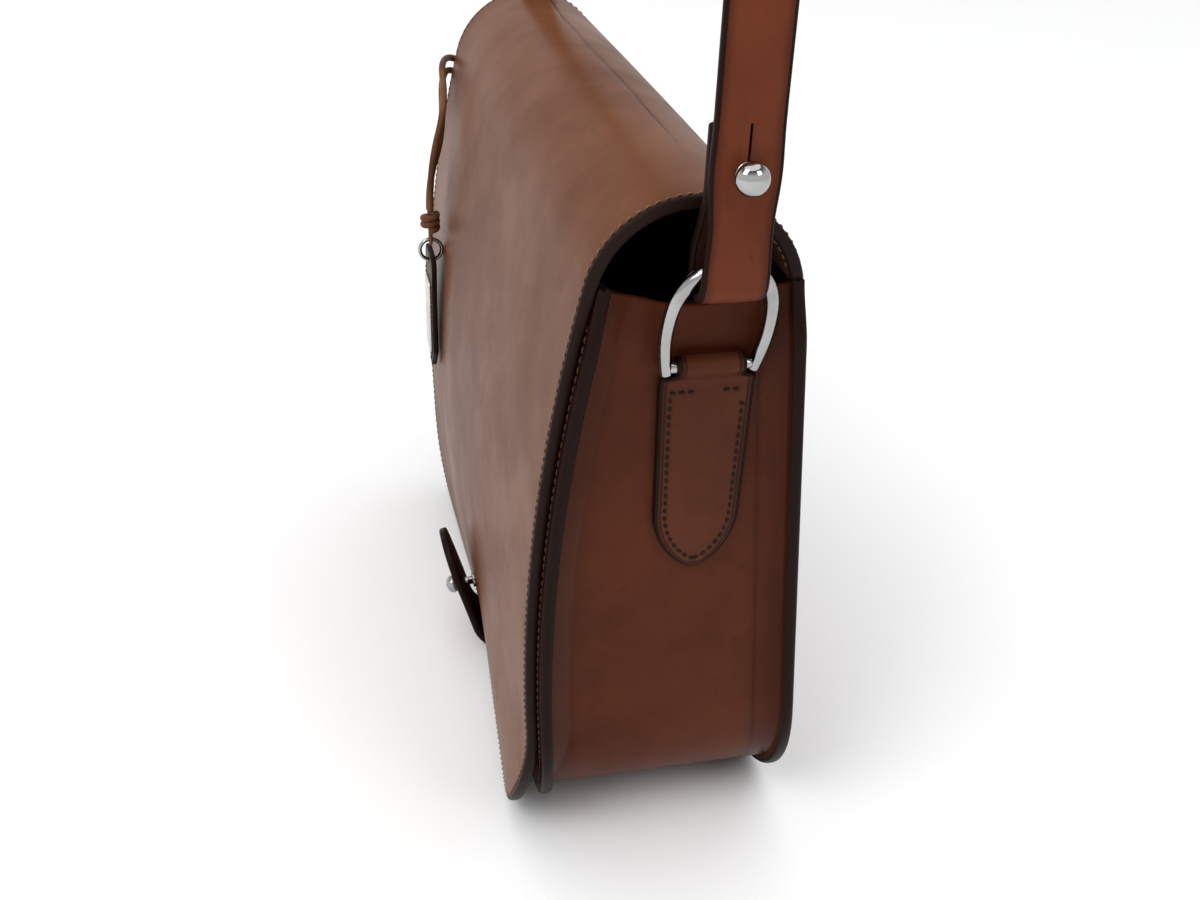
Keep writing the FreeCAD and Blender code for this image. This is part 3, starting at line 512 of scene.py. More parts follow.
class LeatherPiece:
    """Sheet of leather on a form: a map from across and along to the sheet's middle surface."""

    thick: float = 2.0

    def form(self, u: Array, s: Array) -> Array:
        """Middle surface at across u and along s."""
        raise NotImplementedError

    def normal(self, u: Array, s: Array) -> Array:
        """Outward direction at across u and along s."""
        step = 0.6
        across = self.form(u + step, s) - self.form(u - step, s)
        along = self.form(u, s + step) - self.form(u, s - step)
        return unit(np.cross(across, along))

    def seam(self, name: str, places: Array, thread: Thread, face: float = 1.0) -> Object:
        """Stitches on one face of the sheet.

        Args:
            name: name of the piece.
            places: across and along of each stitch.
            thread: sizes of a stitch.
            face: 1 for the outer face, -1 for the inner one.

        Returns:
            The row of stitches.
        """
        u, s = places[:, 0], places[:, 1]
        normal = self.normal(u, s) * face
        centre = self.form(u, s) + normal * self.thick / 2
        along = unit(np.gradient(centre, axis=0))
        return stitch_mesh(name, centre, along, normal, thread)


# Finishes


class Sketch:
    """Short hand for a node tree."""

    def __init__(self, tree: NodeTree) -> None:
        """Start from a tree."""
        self.tree = tree

    def node(self, kind: str, **settings: object) -> Node:
        """Add a node; settings name its properties."""
        node = self.tree.nodes.new(kind)
        for key, value in settings.items():
            setattr(node, key, value)
        return node

    def put(self, source: object, socket: NodeSocket) -> None:
        """Link a socket to another, or set its value."""
        if isinstance(source, NodeSocket):
            self.tree.links.new(source, socket)
        else:
            socket.default_value = source

    def fill(self, node: Node, **values: object) -> None:
        """Put values into a node's inputs; an underscore stands for a space in a name."""
        for key, value in values.items():
            self.put(value, node.inputs[key.replace("_", " ")])

    def bump(self, shader: Node, height: object, distance: float, strength: float = 1.0) -> None:
        """Fine relief on a shader."""
        node = self.node("ShaderNodeBump")
        self.fill(node, Strength=strength, Distance=distance, Height=height)
        self.fill(shader, Normal=node.outputs["Normal"])

    def place(self) -> NodeSocket:
        """Place on the object."""
        return self.node("ShaderNodeTexCoord").outputs["Object"]

    def maths(self, operation: str, a: object, b: object = 0.0, clamp: bool = False) -> NodeSocket:
        """Result of a two-value operation."""
        node = self.node("ShaderNodeMath", operation=operation, use_clamp=clamp)
        self.put(a, node.inputs[0])
        self.put(b, node.inputs[1])
        return node.outputs[0]

    def mix(self, share: object, a: object, b: object) -> NodeSocket:
        """Mix of two colours."""
        node = self.node("ShaderNodeMix", data_type="RGBA")
        self.put(share, node.inputs[0])
        for value, socket in ((a, node.inputs[6]), (b, node.inputs[7])):
            self.put((*value, 1.0) if isinstance(value, tuple) else value, socket)
        return node.outputs[2]

    def weigh(self, a: object, b: object, shares: Span) -> NodeSocket:
        """Sum of two values, each times its share."""
        return self.maths("ADD", self.maths("MULTIPLY", a, shares[0]), self.maths("MULTIPLY", b, shares[1]))

    def span(self, value: object, low: float, high: float, start: float = 0.0, end: float = 1.0,
             ) -> NodeSocket:
        """Value moved from one range to another, held at its ends."""
        node = self.node("ShaderNodeMapRange", interpolation_type="SMOOTHSTEP")
        for source, socket in zip((value, low, high, start, end), node.inputs):
            self.put(source, socket)
        return node.outputs[0]

    def noise(self, vector: object, scale: object, detail: float = 4.0, rough: float = 0.55,
              ) -> NodeSocket:
        """Cloudy noise from 0 to 1."""
        node = self.node("ShaderNodeTexNoise")
        self.fill(node, Vector=vector, Scale=scale, Detail=detail, Roughness=rough)
        return node.outputs["Fac"]

    def attribute(self, name: Attr) -> NodeSocket:
        """Value of a mesh attribute."""
        return self.node("ShaderNodeAttribute", attribute_name=name.value).outputs["Fac"]


def new_group(name: str, inputs: dict[str, float], outputs: Sequence[str],
              ) -> tuple[Sketch, Node, Node]:
    """Shader group with value inputs and outputs, and its two end nodes."""
    tree = bpy.data.node_groups.new(name, "ShaderNodeTree")
    for key, value in inputs.items():
        socket = tree.interface.new_socket(key, in_out="INPUT", socket_type="NodeSocketFloat")
        socket.default_value = value
    for key in outputs:
        tree.interface.new_socket(key, in_out="OUTPUT", socket_type="NodeSocketFloat")
    sketch = Sketch(tree)
    return sketch, sketch.node("NodeGroupInput"), sketch.node("NodeGroupOutput")


@dataclass(frozen=True)
class Grain:
    """Skin of tanned leather: pores and fine creases as a height, and a cloudy tone.

    The scales of the finer and wider noises are shares of the group's own two scales.
    """

    smooth: float = 0.7
    fine_scale: float = 2.3
    fold_scale: float = 7.0
    broad_scale: float = 0.3
    speck_scale: float = 0.22
    fold_width: float = 0.05
    heights: Span = (0.75, 0.35)
    crease_cut: float = 0.5
    tones: Span = (0.6, 0.4)
    tone_zone: Span = (0.32, 0.68)
    speck_zone: Span = (0.66, 0.78)

    def build(self) -> NodeTree:
        """Make the shared group."""
        given = {"Pores": 900.0, "Clouds": 26.0, "Creases": 0.4}
        sketch, start, result = new_group("leather_grain", given, ("Height", "Tone", "Specks"))
        place, pores, clouds = sketch.place(), start.outputs["Pores"], start.outputs["Clouds"]
        cells = sketch.node("ShaderNodeTexVoronoi", feature="SMOOTH_F1")
        sketch.fill(cells, Vector=place, Scale=pores, Smoothness=self.smooth)
        fine = sketch.noise(place, sketch.maths("MULTIPLY", pores, self.fine_scale), 3.0)
        folds = sketch.noise(place, sketch.maths("MULTIPLY", clouds, self.fold_scale), 5.0, 0.65)
        ridge = sketch.maths("ABSOLUTE", sketch.maths("SUBTRACT", folds, 0.5))
        crease = sketch.span(ridge, 0.0, self.fold_width, 1.0, 0.0)
        crease = sketch.maths("MULTIPLY", crease, start.outputs["Creases"])
        height = sketch.weigh(cells.outputs["Distance"], fine, self.heights)
        height = sketch.maths("SUBTRACT", height, sketch.maths("MULTIPLY", crease, self.crease_cut))
        cloud = sketch.noise(place, clouds, 6.0, 0.6)
        broad = sketch.noise(place, sketch.maths("MULTIPLY", clouds, self.broad_scale), 2.0)
        tone = sketch.span(sketch.weigh(cloud, broad, self.tones), *self.tone_zone)
        speck = sketch.noise(place, sketch.maths("MULTIPLY", pores, self.speck_scale), 2.0)
        sketch.fill(result, Height=height, Tone=tone, Specks=sketch.span(speck, *self.speck_zone))
        return sketch.tree


@dataclass(frozen=True)
class Wear:
    """Handling marks on metal: hair scratches as a height and a cloudy haze."""

    turn: Place = (0.5, 0.9, 0.3)
    stretch: Place = (1.0, 9.0, 9.0)
    scratch_zone: Span = (0.62, 0.7)
    haze_zone: Span = (0.35, 0.7)

    def build(self) -> NodeTree:
        """Make the shared group."""
        given = {"Scratches": 260.0, "Haze": 45.0}
        sketch, start, result = new_group("metal_wear", given, ("Height", "Haze"))
        place = sketch.place()
        drawn = sketch.node("ShaderNodeMapping")
        sketch.fill(drawn, Vector=place, Rotation=self.turn, Scale=self.stretch)
        lines = sketch.noise(drawn.outputs["Vector"], start.outputs["Scratches"], 3.0, 0.7)
        haze = sketch.noise(place, start.outputs["Haze"], 4.0)
        sketch.fill(result, Height=sketch.span(lines, *self.scratch_zone),
                    Haze=sketch.span(haze, *self.haze_zone))
        return sketch.tree


def new_material(name: str) -> tuple[Material, Sketch, Node]:
    """Empty node material with its main shader."""
    material = bpy.data.materials.new(name)
    material.use_nodes = True
    sketch = Sketch(material.node_tree)
    return material, sketch, material.node_tree.nodes["Principled BSDF"]


@dataclass(frozen=True)
class LeatherFinish:
    """Polished leather with painted edges and a plain flesh side; darker towards the rim (edge burnish on
    narrow bands, painted shade on wide ones) and painted shade along marked creases.
    """

    name: str
    dark: Colour
    light: Colour
    paint: Colour = (0.0125, 0.0042, 0.0028)
    flesh: Colour = (0.060, 0.026, 0.016)
    rough: float = 0.36
    coat: float = 0.01
    specular: float = 0.07
    pores: float = 900.0
    clouds: float = 26.0
    creases: float = 0.4
    bump: float = 0.00006
    paint_width: float = 1.0
    # Reach and strength of the darkening at the rim: edge burnish where narrow, painted shade where wide.
    burnish_and_shade: float = 9.0
    burnish_and_shade_share: float = 0.75
    speck_share: float = 0.35
    shade_mark_share: float = 0.85
    flesh_share: float = 0.9
    deep_tone: float = 0.5
    shade_mark_tone: float = 0.3
    crease_line: float = 0.0
    line_zone: Span = (0.15, 0.55)
    line_share: float = 0.7
    line_depth: float = 2.0
    paint_core: float = 0.6
    tone_rough: Span = (0.05, -0.04)
    flesh_rough: float = 0.3
    paint_rough: float = 0.08
    coat_rough: float = 0.22
    relief: float = 0.5

    def build(self, grain: NodeTree) -> Material:
        """Make the material.

        Args:
            grain: the shared leather grain.

        Returns:
            A material for meshes with the leather attributes.
        """
        material, sketch, shader = new_material(self.name)
        skin = sketch.node("ShaderNodeGroup", node_tree=grain)
        sketch.fill(skin, Pores=self.pores, Clouds=self.clouds, Creases=self.creases)
        tone, specks = skin.outputs["Tone"], skin.outputs["Specks"]
        rim, back = sketch.attribute(Attr.RIM), sketch.attribute(Attr.BACK)
        # The darker tone for specks and rim darkening, and the colour of the painted crease shade.
        deep, shade_colour = (tuple(share * channel for channel in self.dark)
                         for share in (self.deep_tone, self.shade_mark_tone))
        colour = sketch.mix(tone, self.dark, self.light)
        colour = sketch.mix(sketch.maths("MULTIPLY", specks, self.speck_share), colour, deep)
        # Darker towards the rim: edge burnish on the narrow bands, painted shade on the body's wide band
        # along the gusset's lips.
        colour = sketch.mix(sketch.span(rim, 0.0, self.burnish_and_shade, self.burnish_and_shade_share, 0.0), colour, deep)
        height = skin.outputs["Height"]
        if self.crease_line:
            gap = sketch.maths("ABSOLUTE", sketch.maths("SUBTRACT", rim, self.crease_line))
            line = sketch.span(gap, *self.line_zone, 1.0, 0.0)
            colour = sketch.mix(sketch.maths("MULTIPLY", line, self.line_share), colour, self.paint)
            height = sketch.maths("SUBTRACT", height, sketch.maths("MULTIPLY", line, self.line_depth))
        # Painted shade along creases and folds, from the crease attribute.
        mark = sketch.maths("MULTIPLY", sketch.attribute(Attr.MARK), self.shade_mark_share)
        colour = sketch.mix(mark, colour, shade_colour)
        colour = sketch.mix(sketch.maths("MULTIPLY", back, self.flesh_share), colour, self.flesh)
        painted = sketch.span(rim, self.paint_width * self.paint_core, self.paint_width, 1.0, 0.0)
        colour = sketch.mix(painted, colour, self.paint)
        rough = sketch.span(tone, *UNIT_SPAN, *(self.rough + more for more in self.tone_rough))
        rough = sketch.maths("ADD", rough, sketch.maths("MULTIPLY", back, self.flesh_rough))
        rough = sketch.maths("ADD", rough, sketch.maths("MULTIPLY", painted, self.paint_rough), True)
        sketch.fill(shader, Base_Color=colour, Roughness=rough, Specular_IOR_Level=self.specular,
                    Coat_Weight=self.coat, Coat_Roughness=self.coat_rough)
        sketch.bump(shader, height, self.bump, self.relief)
        return material


@dataclass(frozen=True)
class MetalFinish:
    """Plated or brushed metal with handling marks."""

    name: str
    bright: Colour
    dull: Colour
    rough: float
    haze_rough: float = 0.07
    bump: float = 0.000012
    relief: float = 0.25

    def build(self, wear: NodeTree) -> Material:
        """Make the material from the shared metal wear."""
        material, sketch, shader = new_material(self.name)
        marks = sketch.node("ShaderNodeGroup", node_tree=wear)
        haze = marks.outputs["Haze"]
        sketch.fill(shader, Base_Color=sketch.mix(haze, self.bright, self.dull), Metallic=1.0,
                    Roughness=sketch.span(haze, *UNIT_SPAN, self.rough, self.rough + self.haze_rough))
        sketch.bump(shader, marks.outputs["Height"], self.bump, self.relief)
        return material


@dataclass(frozen=True)
class ThreadFinish:
    """Waxed thread: fine twist and slightly uneven colour."""

    name: str
    dark: Colour
    light: Colour
    twist: float = 2600.0
    uneven: float = 90.0
    shares: Span = (0.6, 0.4)
    tone_zone: Span = (0.35, 0.65)
    rough: Ramp = (0.3, 0.7, 0.55, 0.75)
    specular: float = 0.15
    bump: float = 0.00008

    def build(self) -> Material:
        """Make the material."""
        material, sketch, shader = new_material(self.name)
        place = sketch.place()
        twist = sketch.noise(place, self.twist, 2.0)
        share = sketch.weigh(twist, sketch.noise(place, self.uneven, 2.0), self.shares)
        colour = sketch.mix(sketch.span(share, *self.tone_zone), self.dark, self.light)
        sketch.fill(shader, Base_Color=colour, Roughness=sketch.span(twist, *self.rough),
                    Specular_IOR_Level=self.specular)
        sketch.bump(shader, twist, self.bump)
        return material


class Finishes:
    """Every material of the bag, built once."""

    def __init__(self) -> None:
        """Build the shared groups and the materials."""
        grain, wear = Grain().build(), Wear().build()
        self.flap = LeatherFinish("flap_leather", (0.108, 0.031, 0.0085), (0.160, 0.051, 0.015),
                                  rough=0.40, burnish_and_shade=4.0, paint_width=1.5, specular=0.11,
                                  coat=0.015).build(grain)
        self.front = LeatherFinish("front_leather", (0.085, 0.021, 0.009), (0.135, 0.036, 0.015),
                                   paint_width=5.0, burnish_and_shade=16.0).build(grain)
        # Back panel and gusset: a darker copy of the front panel's leather, the darkening painted shade; its
        # wide rim darkening is painted shade along the gusset's lips.
        self.body = LeatherFinish("body_leather", (0.078, 0.018, 0.0070), (0.128, 0.032, 0.0125),
                                  burnish_and_shade=30.0).build(grain)
        self.strap = LeatherFinish("strap_leather", (0.118, 0.027, 0.0115), (0.172, 0.042, 0.018),
                                   rough=0.38, creases=0.8, burnish_and_shade=3.5, paint_width=0.6,
                                   flesh=(0.030, 0.012, 0.009)).build(grain)
        # A darker copy of the strap leather that the chapes are cut from; the darkening is painted shade.
        self.chape = LeatherFinish("chape_leather", (0.070, 0.019, 0.009), (0.115, 0.032, 0.015),
                                   burnish_and_shade=3.0, crease_line=1.6, paint_width=0.9).build(grain)
        self.tag = LeatherFinish("tag_leather", (0.035, 0.014, 0.010), (0.055, 0.022, 0.014),
                                 rough=0.42, burnish_and_shade=3.0).build(grain)
        self.lace = LeatherFinish("lace_leather", (0.100, 0.040, 0.020), (0.190, 0.085, 0.040), rough=0.45,
                                  pores=1500.0, clouds=80.0, paint_width=0.001, burnish_and_shade=0.01).build(grain)
        self.suede = LeatherFinish("lining_suede", (0.010, 0.007, 0.006), (0.016, 0.011, 0.009), rough=0.85,
                                   coat=0.0, specular=0.1, pores=2200.0, paint_width=0.01, burnish_and_shade=0.1,
                                   flesh=(0.012, 0.008, 0.007), bump=0.0001).build(grain)
        self.chrome = MetalFinish("chrome", (0.40, 0.40, 0.395), (0.30, 0.30, 0.30), 0.06).build(wear)
        self.plate = MetalFinish("tag_plate_steel", (0.62, 0.61, 0.59), (0.50, 0.49, 0.47), 0.28).build(wear)
        self.tan = ThreadFinish("tan_thread", (0.16, 0.075, 0.030), (0.36, 0.20, 0.09)).build()
        self.brown = ThreadFinish("brown_thread", (0.060, 0.022, 0.012), (0.120, 0.045, 0.025)).build()
        self.black = ThreadFinish("black_thread", (0.008, 0.005, 0.005), (0.022, 0.014, 0.012)).build()


def cover(piece: Object, material: Material) -> None:
    """Give a piece one material."""
    piece.data.materials.clear()
    piece.data.materials.append(material)


def dress(piece: Object, material: Material, body: str, slot: str, *nodes: str) -> None:
    """Give a piece its material and the body it rides on, and hide the nodes it stands for; the slot is not
    used.
    """
    cover(piece, material)
    if "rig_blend" not in piece:
        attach(piece, body)
    if nodes:
        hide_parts(*nodes)
    LOG.info("%s rides on %s", piece.name, body)


# The bag's shell


@dataclass(frozen=True)
class BagShape:
    """Outer faces of the front and back panels, and the sizes that the shell shares."""

    half: float = 145.0
    height: float = 226.0
    foot: float = 45.5
    back_top: float = 27.0
    corner: float = 60.0
    leather: float = 2.0
    flange: float = 9.0
    round_y: float = 534.373
    round_z: float = 90.087
    radius: float = 586.830
    front_pillow: float = 3.2
    back_pillow: float = 3.5
    top_taper: float = 0.026
    notch_half: float = 18.0
    notch_rise: float = 5.2
    notch_run: float = 4.0
    notch_fade: float = 25.0
    mouth_run: float = 20.0
    pillow_power: float = 0.8

    def pillow(self, x: Array, z: Array) -> Array:
        """Fullness in the middle of a panel, nothing along its seams."""
        across = held(1.0 - (x / self.half) ** 2)
        up = np.sin(np.pi * held(z / self.height) ** self.pillow_power)
        return across * up

    def front_edge(self, z: Array, out: float = 0.0) -> Array:
        """Front face along a seam, or a distance out from it: one wide arc from foot to mouth."""
        return self.round_y - np.sqrt((self.radius + out) ** 2 - (z - self.round_z) ** 2)

    def front(self, x: Array, z: Array) -> Array:
        """Front panel's outer face."""
        return self.front_edge(z) - self.front_pillow * self.pillow(x, z)

    def back(self, x: Array, z: Array) -> Array:
        """Back panel's outer face, straight along its seams."""
        straight = self.foot - (self.foot - self.back_top) * z / self.height
        return straight + self.back_pillow * self.pillow(x, z)

    def mouth(self, z: Array) -> Array:
        """Share of the drawing in just under the mouth."""
        return ease(self.height - self.mouth_run, self.height, z)

    def notch(self, x: Array) -> Array:
        """Lift of the front foot where the closing tab passes under it."""
        return self.notch_rise * (1.0 - ease(self.notch_half, self.notch_half + self.notch_run, np.abs(x)))


FOOT_LIFT = 1.1
EDGE_ROOM = 0.4
EDGE_STEPS = (0.0, 0.35, 0.8, 1.4, 2.2, 3.2, 4.6, 6.5, 9.0, 13.0, 18.0, 25.0, 34.0, 44.0, 56.0, 70.0, 86.0,
              104.0)


@dataclass
class Panel(LeatherPiece):
    """Front or back panel, or its lining: a full sheet that bellies out between its seams."""

    name: str
    shape: BagShape
    facing: float
    depth: float
    inset: float = 0.0
    thick: float = 2.0

    def form(self, u: Array, s: Array) -> Array:
        """Across and height on the panel's face, set in by the depth; the front foot is notched."""
        z = s + self.inset + FOOT_LIFT * (1.0 - s / self.shape.height)
        x = -self.facing * u * (1.0 - self.shape.top_taper * self.shape.mouth(z))
        if self.facing < 0:
            lift = self.shape.notch(x) * held(1.0 - z / self.shape.notch_fade)
            y = self.shape.front(x, z) + self.depth + self.thick / 2
            return np.stack([x, y, z + lift], axis=-1)
        return np.stack([x, self.shape.back(x, z) - self.depth - self.thick / 2, z], axis=-1)

    @property
    def outline(self) -> Outline:
        """Outline set in from the seam edge."""
        shape, inset = self.shape, self.inset
        return panel_outline(shape.half - inset - EDGE_ROOM, shape.height - inset, shape.corner - inset)

    def build(self, rim: Rim) -> Object:
        """Make the sheet."""
        outline = self.outline
        half, radius = outline.half[-1], self.shape.corner - self.inset
        u, s = outline.grid(mirrored(EDGE_STEPS, half))
        return sheet_mesh(self.name, self.form(u, s), self.thick, panel_rim(u, s, half, radius), rim)


@dataclass
class Gusset(LeatherPiece):
    """Strip round the ends and the floor, flared out into a lip at both seams."""

    shape: BagShape
    thick: float = 2.0
    lip_share: float = 0.42
    lip_reach: float = 14.0
    dip: float = 9.0
    sag: float = 1.6
    dip_run: float = 45.0
    floor_belly: float = 7.0
    floor_zone: Span = (10.0, 60.0)
    belly_zone: Span = (30.0, 80.0)
    notch_zone: Span = (12.0, 30.0)
    notch_cut: float = 0.52
    mouth_cut: float = 0.38
    # Place, width and strength of the painted shade in the fold of each lip.
    fold_at: float = 14.4
    fold_width: float = 0.9
    fold_shades: Span = (0.6, 0.15)
    lining_play: float = 0.1
    lining_gap: float = 0.9
    lining_rim: float = 5.0
    end_run: float = 7.0
    seam_ends: float = 3.0
    lined: bool = False
    track: Track = field(init=False)
    lip: Track = field(init=False)

    def __post_init__(self) -> None:
        """Draw the way round the bag and the flare of a lip as (out, in from the seam)."""
        inset = self.shape.flange + self.thick / 2
        if self.lined:
            inset = inset + self.shape.leather + self.lining_play
        half, radius, top = self.shape.half - inset, self.shape.corner - inset, self.shape.height
        line = np.concatenate([
            [[half, top]], arc((half - radius, inset + radius), radius, 0, -90),
            arc((radius - half, inset + radius), radius, -90, -180), [[-half, top]],
        ])
        self.track = Track(rounded(line, 0.5))
        edge = [[9.6, 0.0], [5.6, 0.2], [0.3, 9.2], [0.0, self.lip_reach]]
        self.lip = Track(rounded(np.array(edge), 0.7, 0.2))

    def form(self, u: Array, s: Array) -> Array:
        """Across from -1 at the back edge to 1 at the front edge, and along the way round.

        The outer shares of the width follow the lip's flare away from the seam; the rest runs
        straight between them, drawn in a little. Both ends dip between the seams.
        """
        x, z = self.track.at(s)
        left_x, left_z = self.track.normal(s)
        part = held((1.0 - np.abs(u)) / self.lip_share)
        out, deep = self.lip.at(part * self.lip.length)
        if self.lined:
            out = out * 0.0
        inner = np.clip(u / (1.0 - self.lip_share), -1.0, 1.0)
        wall = np.cos(inner * np.pi / 2)
        low = 1.0 - ease(*self.floor_zone, z)
        out = out - self.sag * (1.0 - low) * wall
        if not self.lined:
            out = np.maximum(out, self.floor_belly * low * ease(*self.belly_zone, np.abs(x)))
            out = out * (1.0 - self.mouth_cut * self.shape.mouth(z))
        front_side = u > 0
        cut = 1.0 - self.notch_cut * self._notched(x, z)
        out = np.where(front_side & (part < 1.0), out * cut, out)
        ends = np.minimum(s, self.track.length - s)
        z = z - self.dip * (1.0 - u ** 2) * held(1.0 - ends / self.dip_run) ** 2
        z = z + FOOT_LIFT * low
        px, pz = x + left_x * out, z + left_z * out
        inset = self.shape.leather + self.thick / 2 + (self.lining_gap if self.lined else 0.0)
        a = self.shape.front(x, z) + inset
        b = self.shape.back(x, z) - inset
        lip_y = np.where(front_side, a + deep, b - deep)
        mixed = (b - self.lip_reach) + (a - b + 2 * self.lip_reach) * (inner + 1.0) / 2
        y = np.where(part < 1.0, lip_y, mixed)
        return np.stack([px, y, pz], axis=-1)

    def _notched(self, x: Array, z: Array) -> Array:
        """Share of the front lip that is cut back for the closing tab."""
        low = 1.0 - ease(*self.notch_zone, z)
        return low * self.shape.notch(x) / self.shape.notch_rise

    def build(self) -> Object:
        """Make the strip."""
        lip = 1.0 - self.lip_share * np.linspace(0.0, 1.0, 26)
        wall = np.linspace(-(1.0 - self.lip_share), 1.0 - self.lip_share, 17)[1:-1]
        columns = np.concatenate([-lip, wall, lip[::-1]])
        length = self.track.length
        ends = np.array([0.0, 0.5, 1.2, 2.2, 3.5, 5.0])
        between = np.linspace(self.end_run, length - self.end_run, 220)
        rows = np.concatenate([ends, between, length - ends[::-1]])
        u, s = np.meshgrid(columns, rows)
        part = held((1.0 - np.abs(u)) / self.lip_share)
        rim_mm = part * self.lip.length
        if self.lined:
            rim_mm = rim_mm + self.lining_rim
            return sheet_mesh("gusset_lining_suede", self.form(u, s), self.thick, rim_mm, Rim(0.3))
        # Painted shade in the fold between the wall and each lip, stronger at the back lip.
        mark = np.where(u < 0, *self.fold_shades) * np.exp(-((rim_mm - self.fold_at) / self.fold_width) ** 2)
        return sheet_mesh("gusset_leather", self.form(u, s), self.thick, rim_mm, Rim(0.6), mark=mark)

    def lip_places(self, inset: float, pitch: float, side: float) -> Array:
        """Stitch places along one lip."""
        u = side * (1.0 - self.lip_share * inset / self.lip.length)
        s = np.arange(self.seam_ends, self.track.length - self.seam_ends, pitch)
        return np.stack([np.full(s.size, u), s], axis=1)


class Shell:
    """Panels, gusset and linings of the bag, with their seams."""

    seam_inset: float = 3.0
    lip_inset: float = 2.7
    edge_reach: float = 0.9
    edge_turns: int = 9
    lining_depth: float = 2.1
    lining_thick: float = 0.8
    lining_room: float = 0.6

    def __init__(self, shape: BagShape) -> None:
        """Set out the pieces on one shape."""
        lining = (self.lining_depth, shape.flange + shape.leather + self.lining_room, self.lining_thick)
        self.front = Panel("front_panel_leather", shape, -1.0, 0.0)
        self.back = Panel("back_panel_leather", shape, 1.0, 0.0)
        self.front_lining = Panel("front_lining_suede", shape, -1.0, *lining)
        self.back_lining = Panel("back_lining_suede", shape, 1.0, *lining)
        self.gusset = Gusset(shape)
        self.gusset_lining = Gusset(shape, thick=self.lining_thick, lined=True, lip_reach=6.0)

    def _edge(self, name: str, panel: Panel) -> Object:
        """Painted edge over a panel and its lip: half an ellipse carried round the outline."""
        line = panel.outline.border(0.0)[::4]
        way = unit(np.gradient(line, axis=0))
        turn = np.linspace(-1.0, 1.0, self.edge_turns)
        reach = self.edge_reach * np.sqrt(1.04 - turn ** 2)
        u = line[:, :1] + way[:, 1:] * reach
        s = line[:, 1:] - way[:, :1] * reach
        points = panel.form(u, s)
        depth = 2.0 * panel.thick * (turn + 1.0) / 2.0
        points[..., 1] += panel.facing * (panel.thick / 2 - depth)
        return sheet_mesh(name, points, 0.3, np.zeros(u.shape), Rim(0.1, 0.0, 3))

    def build(self, finishes: Finishes) -> None:
        """Make the sheets and stitch them together."""
        body, rim = "bag_body", Rim(0.5)
        dress(self.front.build(rim), finishes.front, body, "body_leather", "front_panel")
        dress(self.back.build(rim), finishes.body, body, "body_leather", "back_panel")
        dress(self.gusset.build(), finishes.body, body, "body_leather", "gusset")
        dress(self.front_lining.build(Rim(0.2)), finishes.suede, body, "lining_suede", "front_lining")
        dress(self.back_lining.build(Rim(0.2)), finishes.suede, body, "lining_suede", "back_lining")
        dress(self.gusset_lining.build(), finishes.suede, body, "lining_suede", "gusset_lining")
        dress(self._edge("front_seam_edge", self.front), finishes.body, body, "body_leather")
        dress(self._edge("back_seam_edge", self.back), finishes.body, body, "body_leather")
        thread = Thread(width=0.55)
        for panel, name in ((self.front, "front_seam_stitches"), (self.back, "back_seam_stitches")):
            places = panel.outline.stitches(self.seam_inset, thread.pitch)
            dress(panel.seam(name, places, thread), finishes.brown, body, "body_leather")
        for side, name in ((1.0, "front_lip_stitches"), (-1.0, "back_lip_stitches")):
            places = self.gusset.lip_places(self.lip_inset, thread.pitch, side)
            dress(self.gusset.seam(name, places, thread), finishes.brown, body, "body_leather")


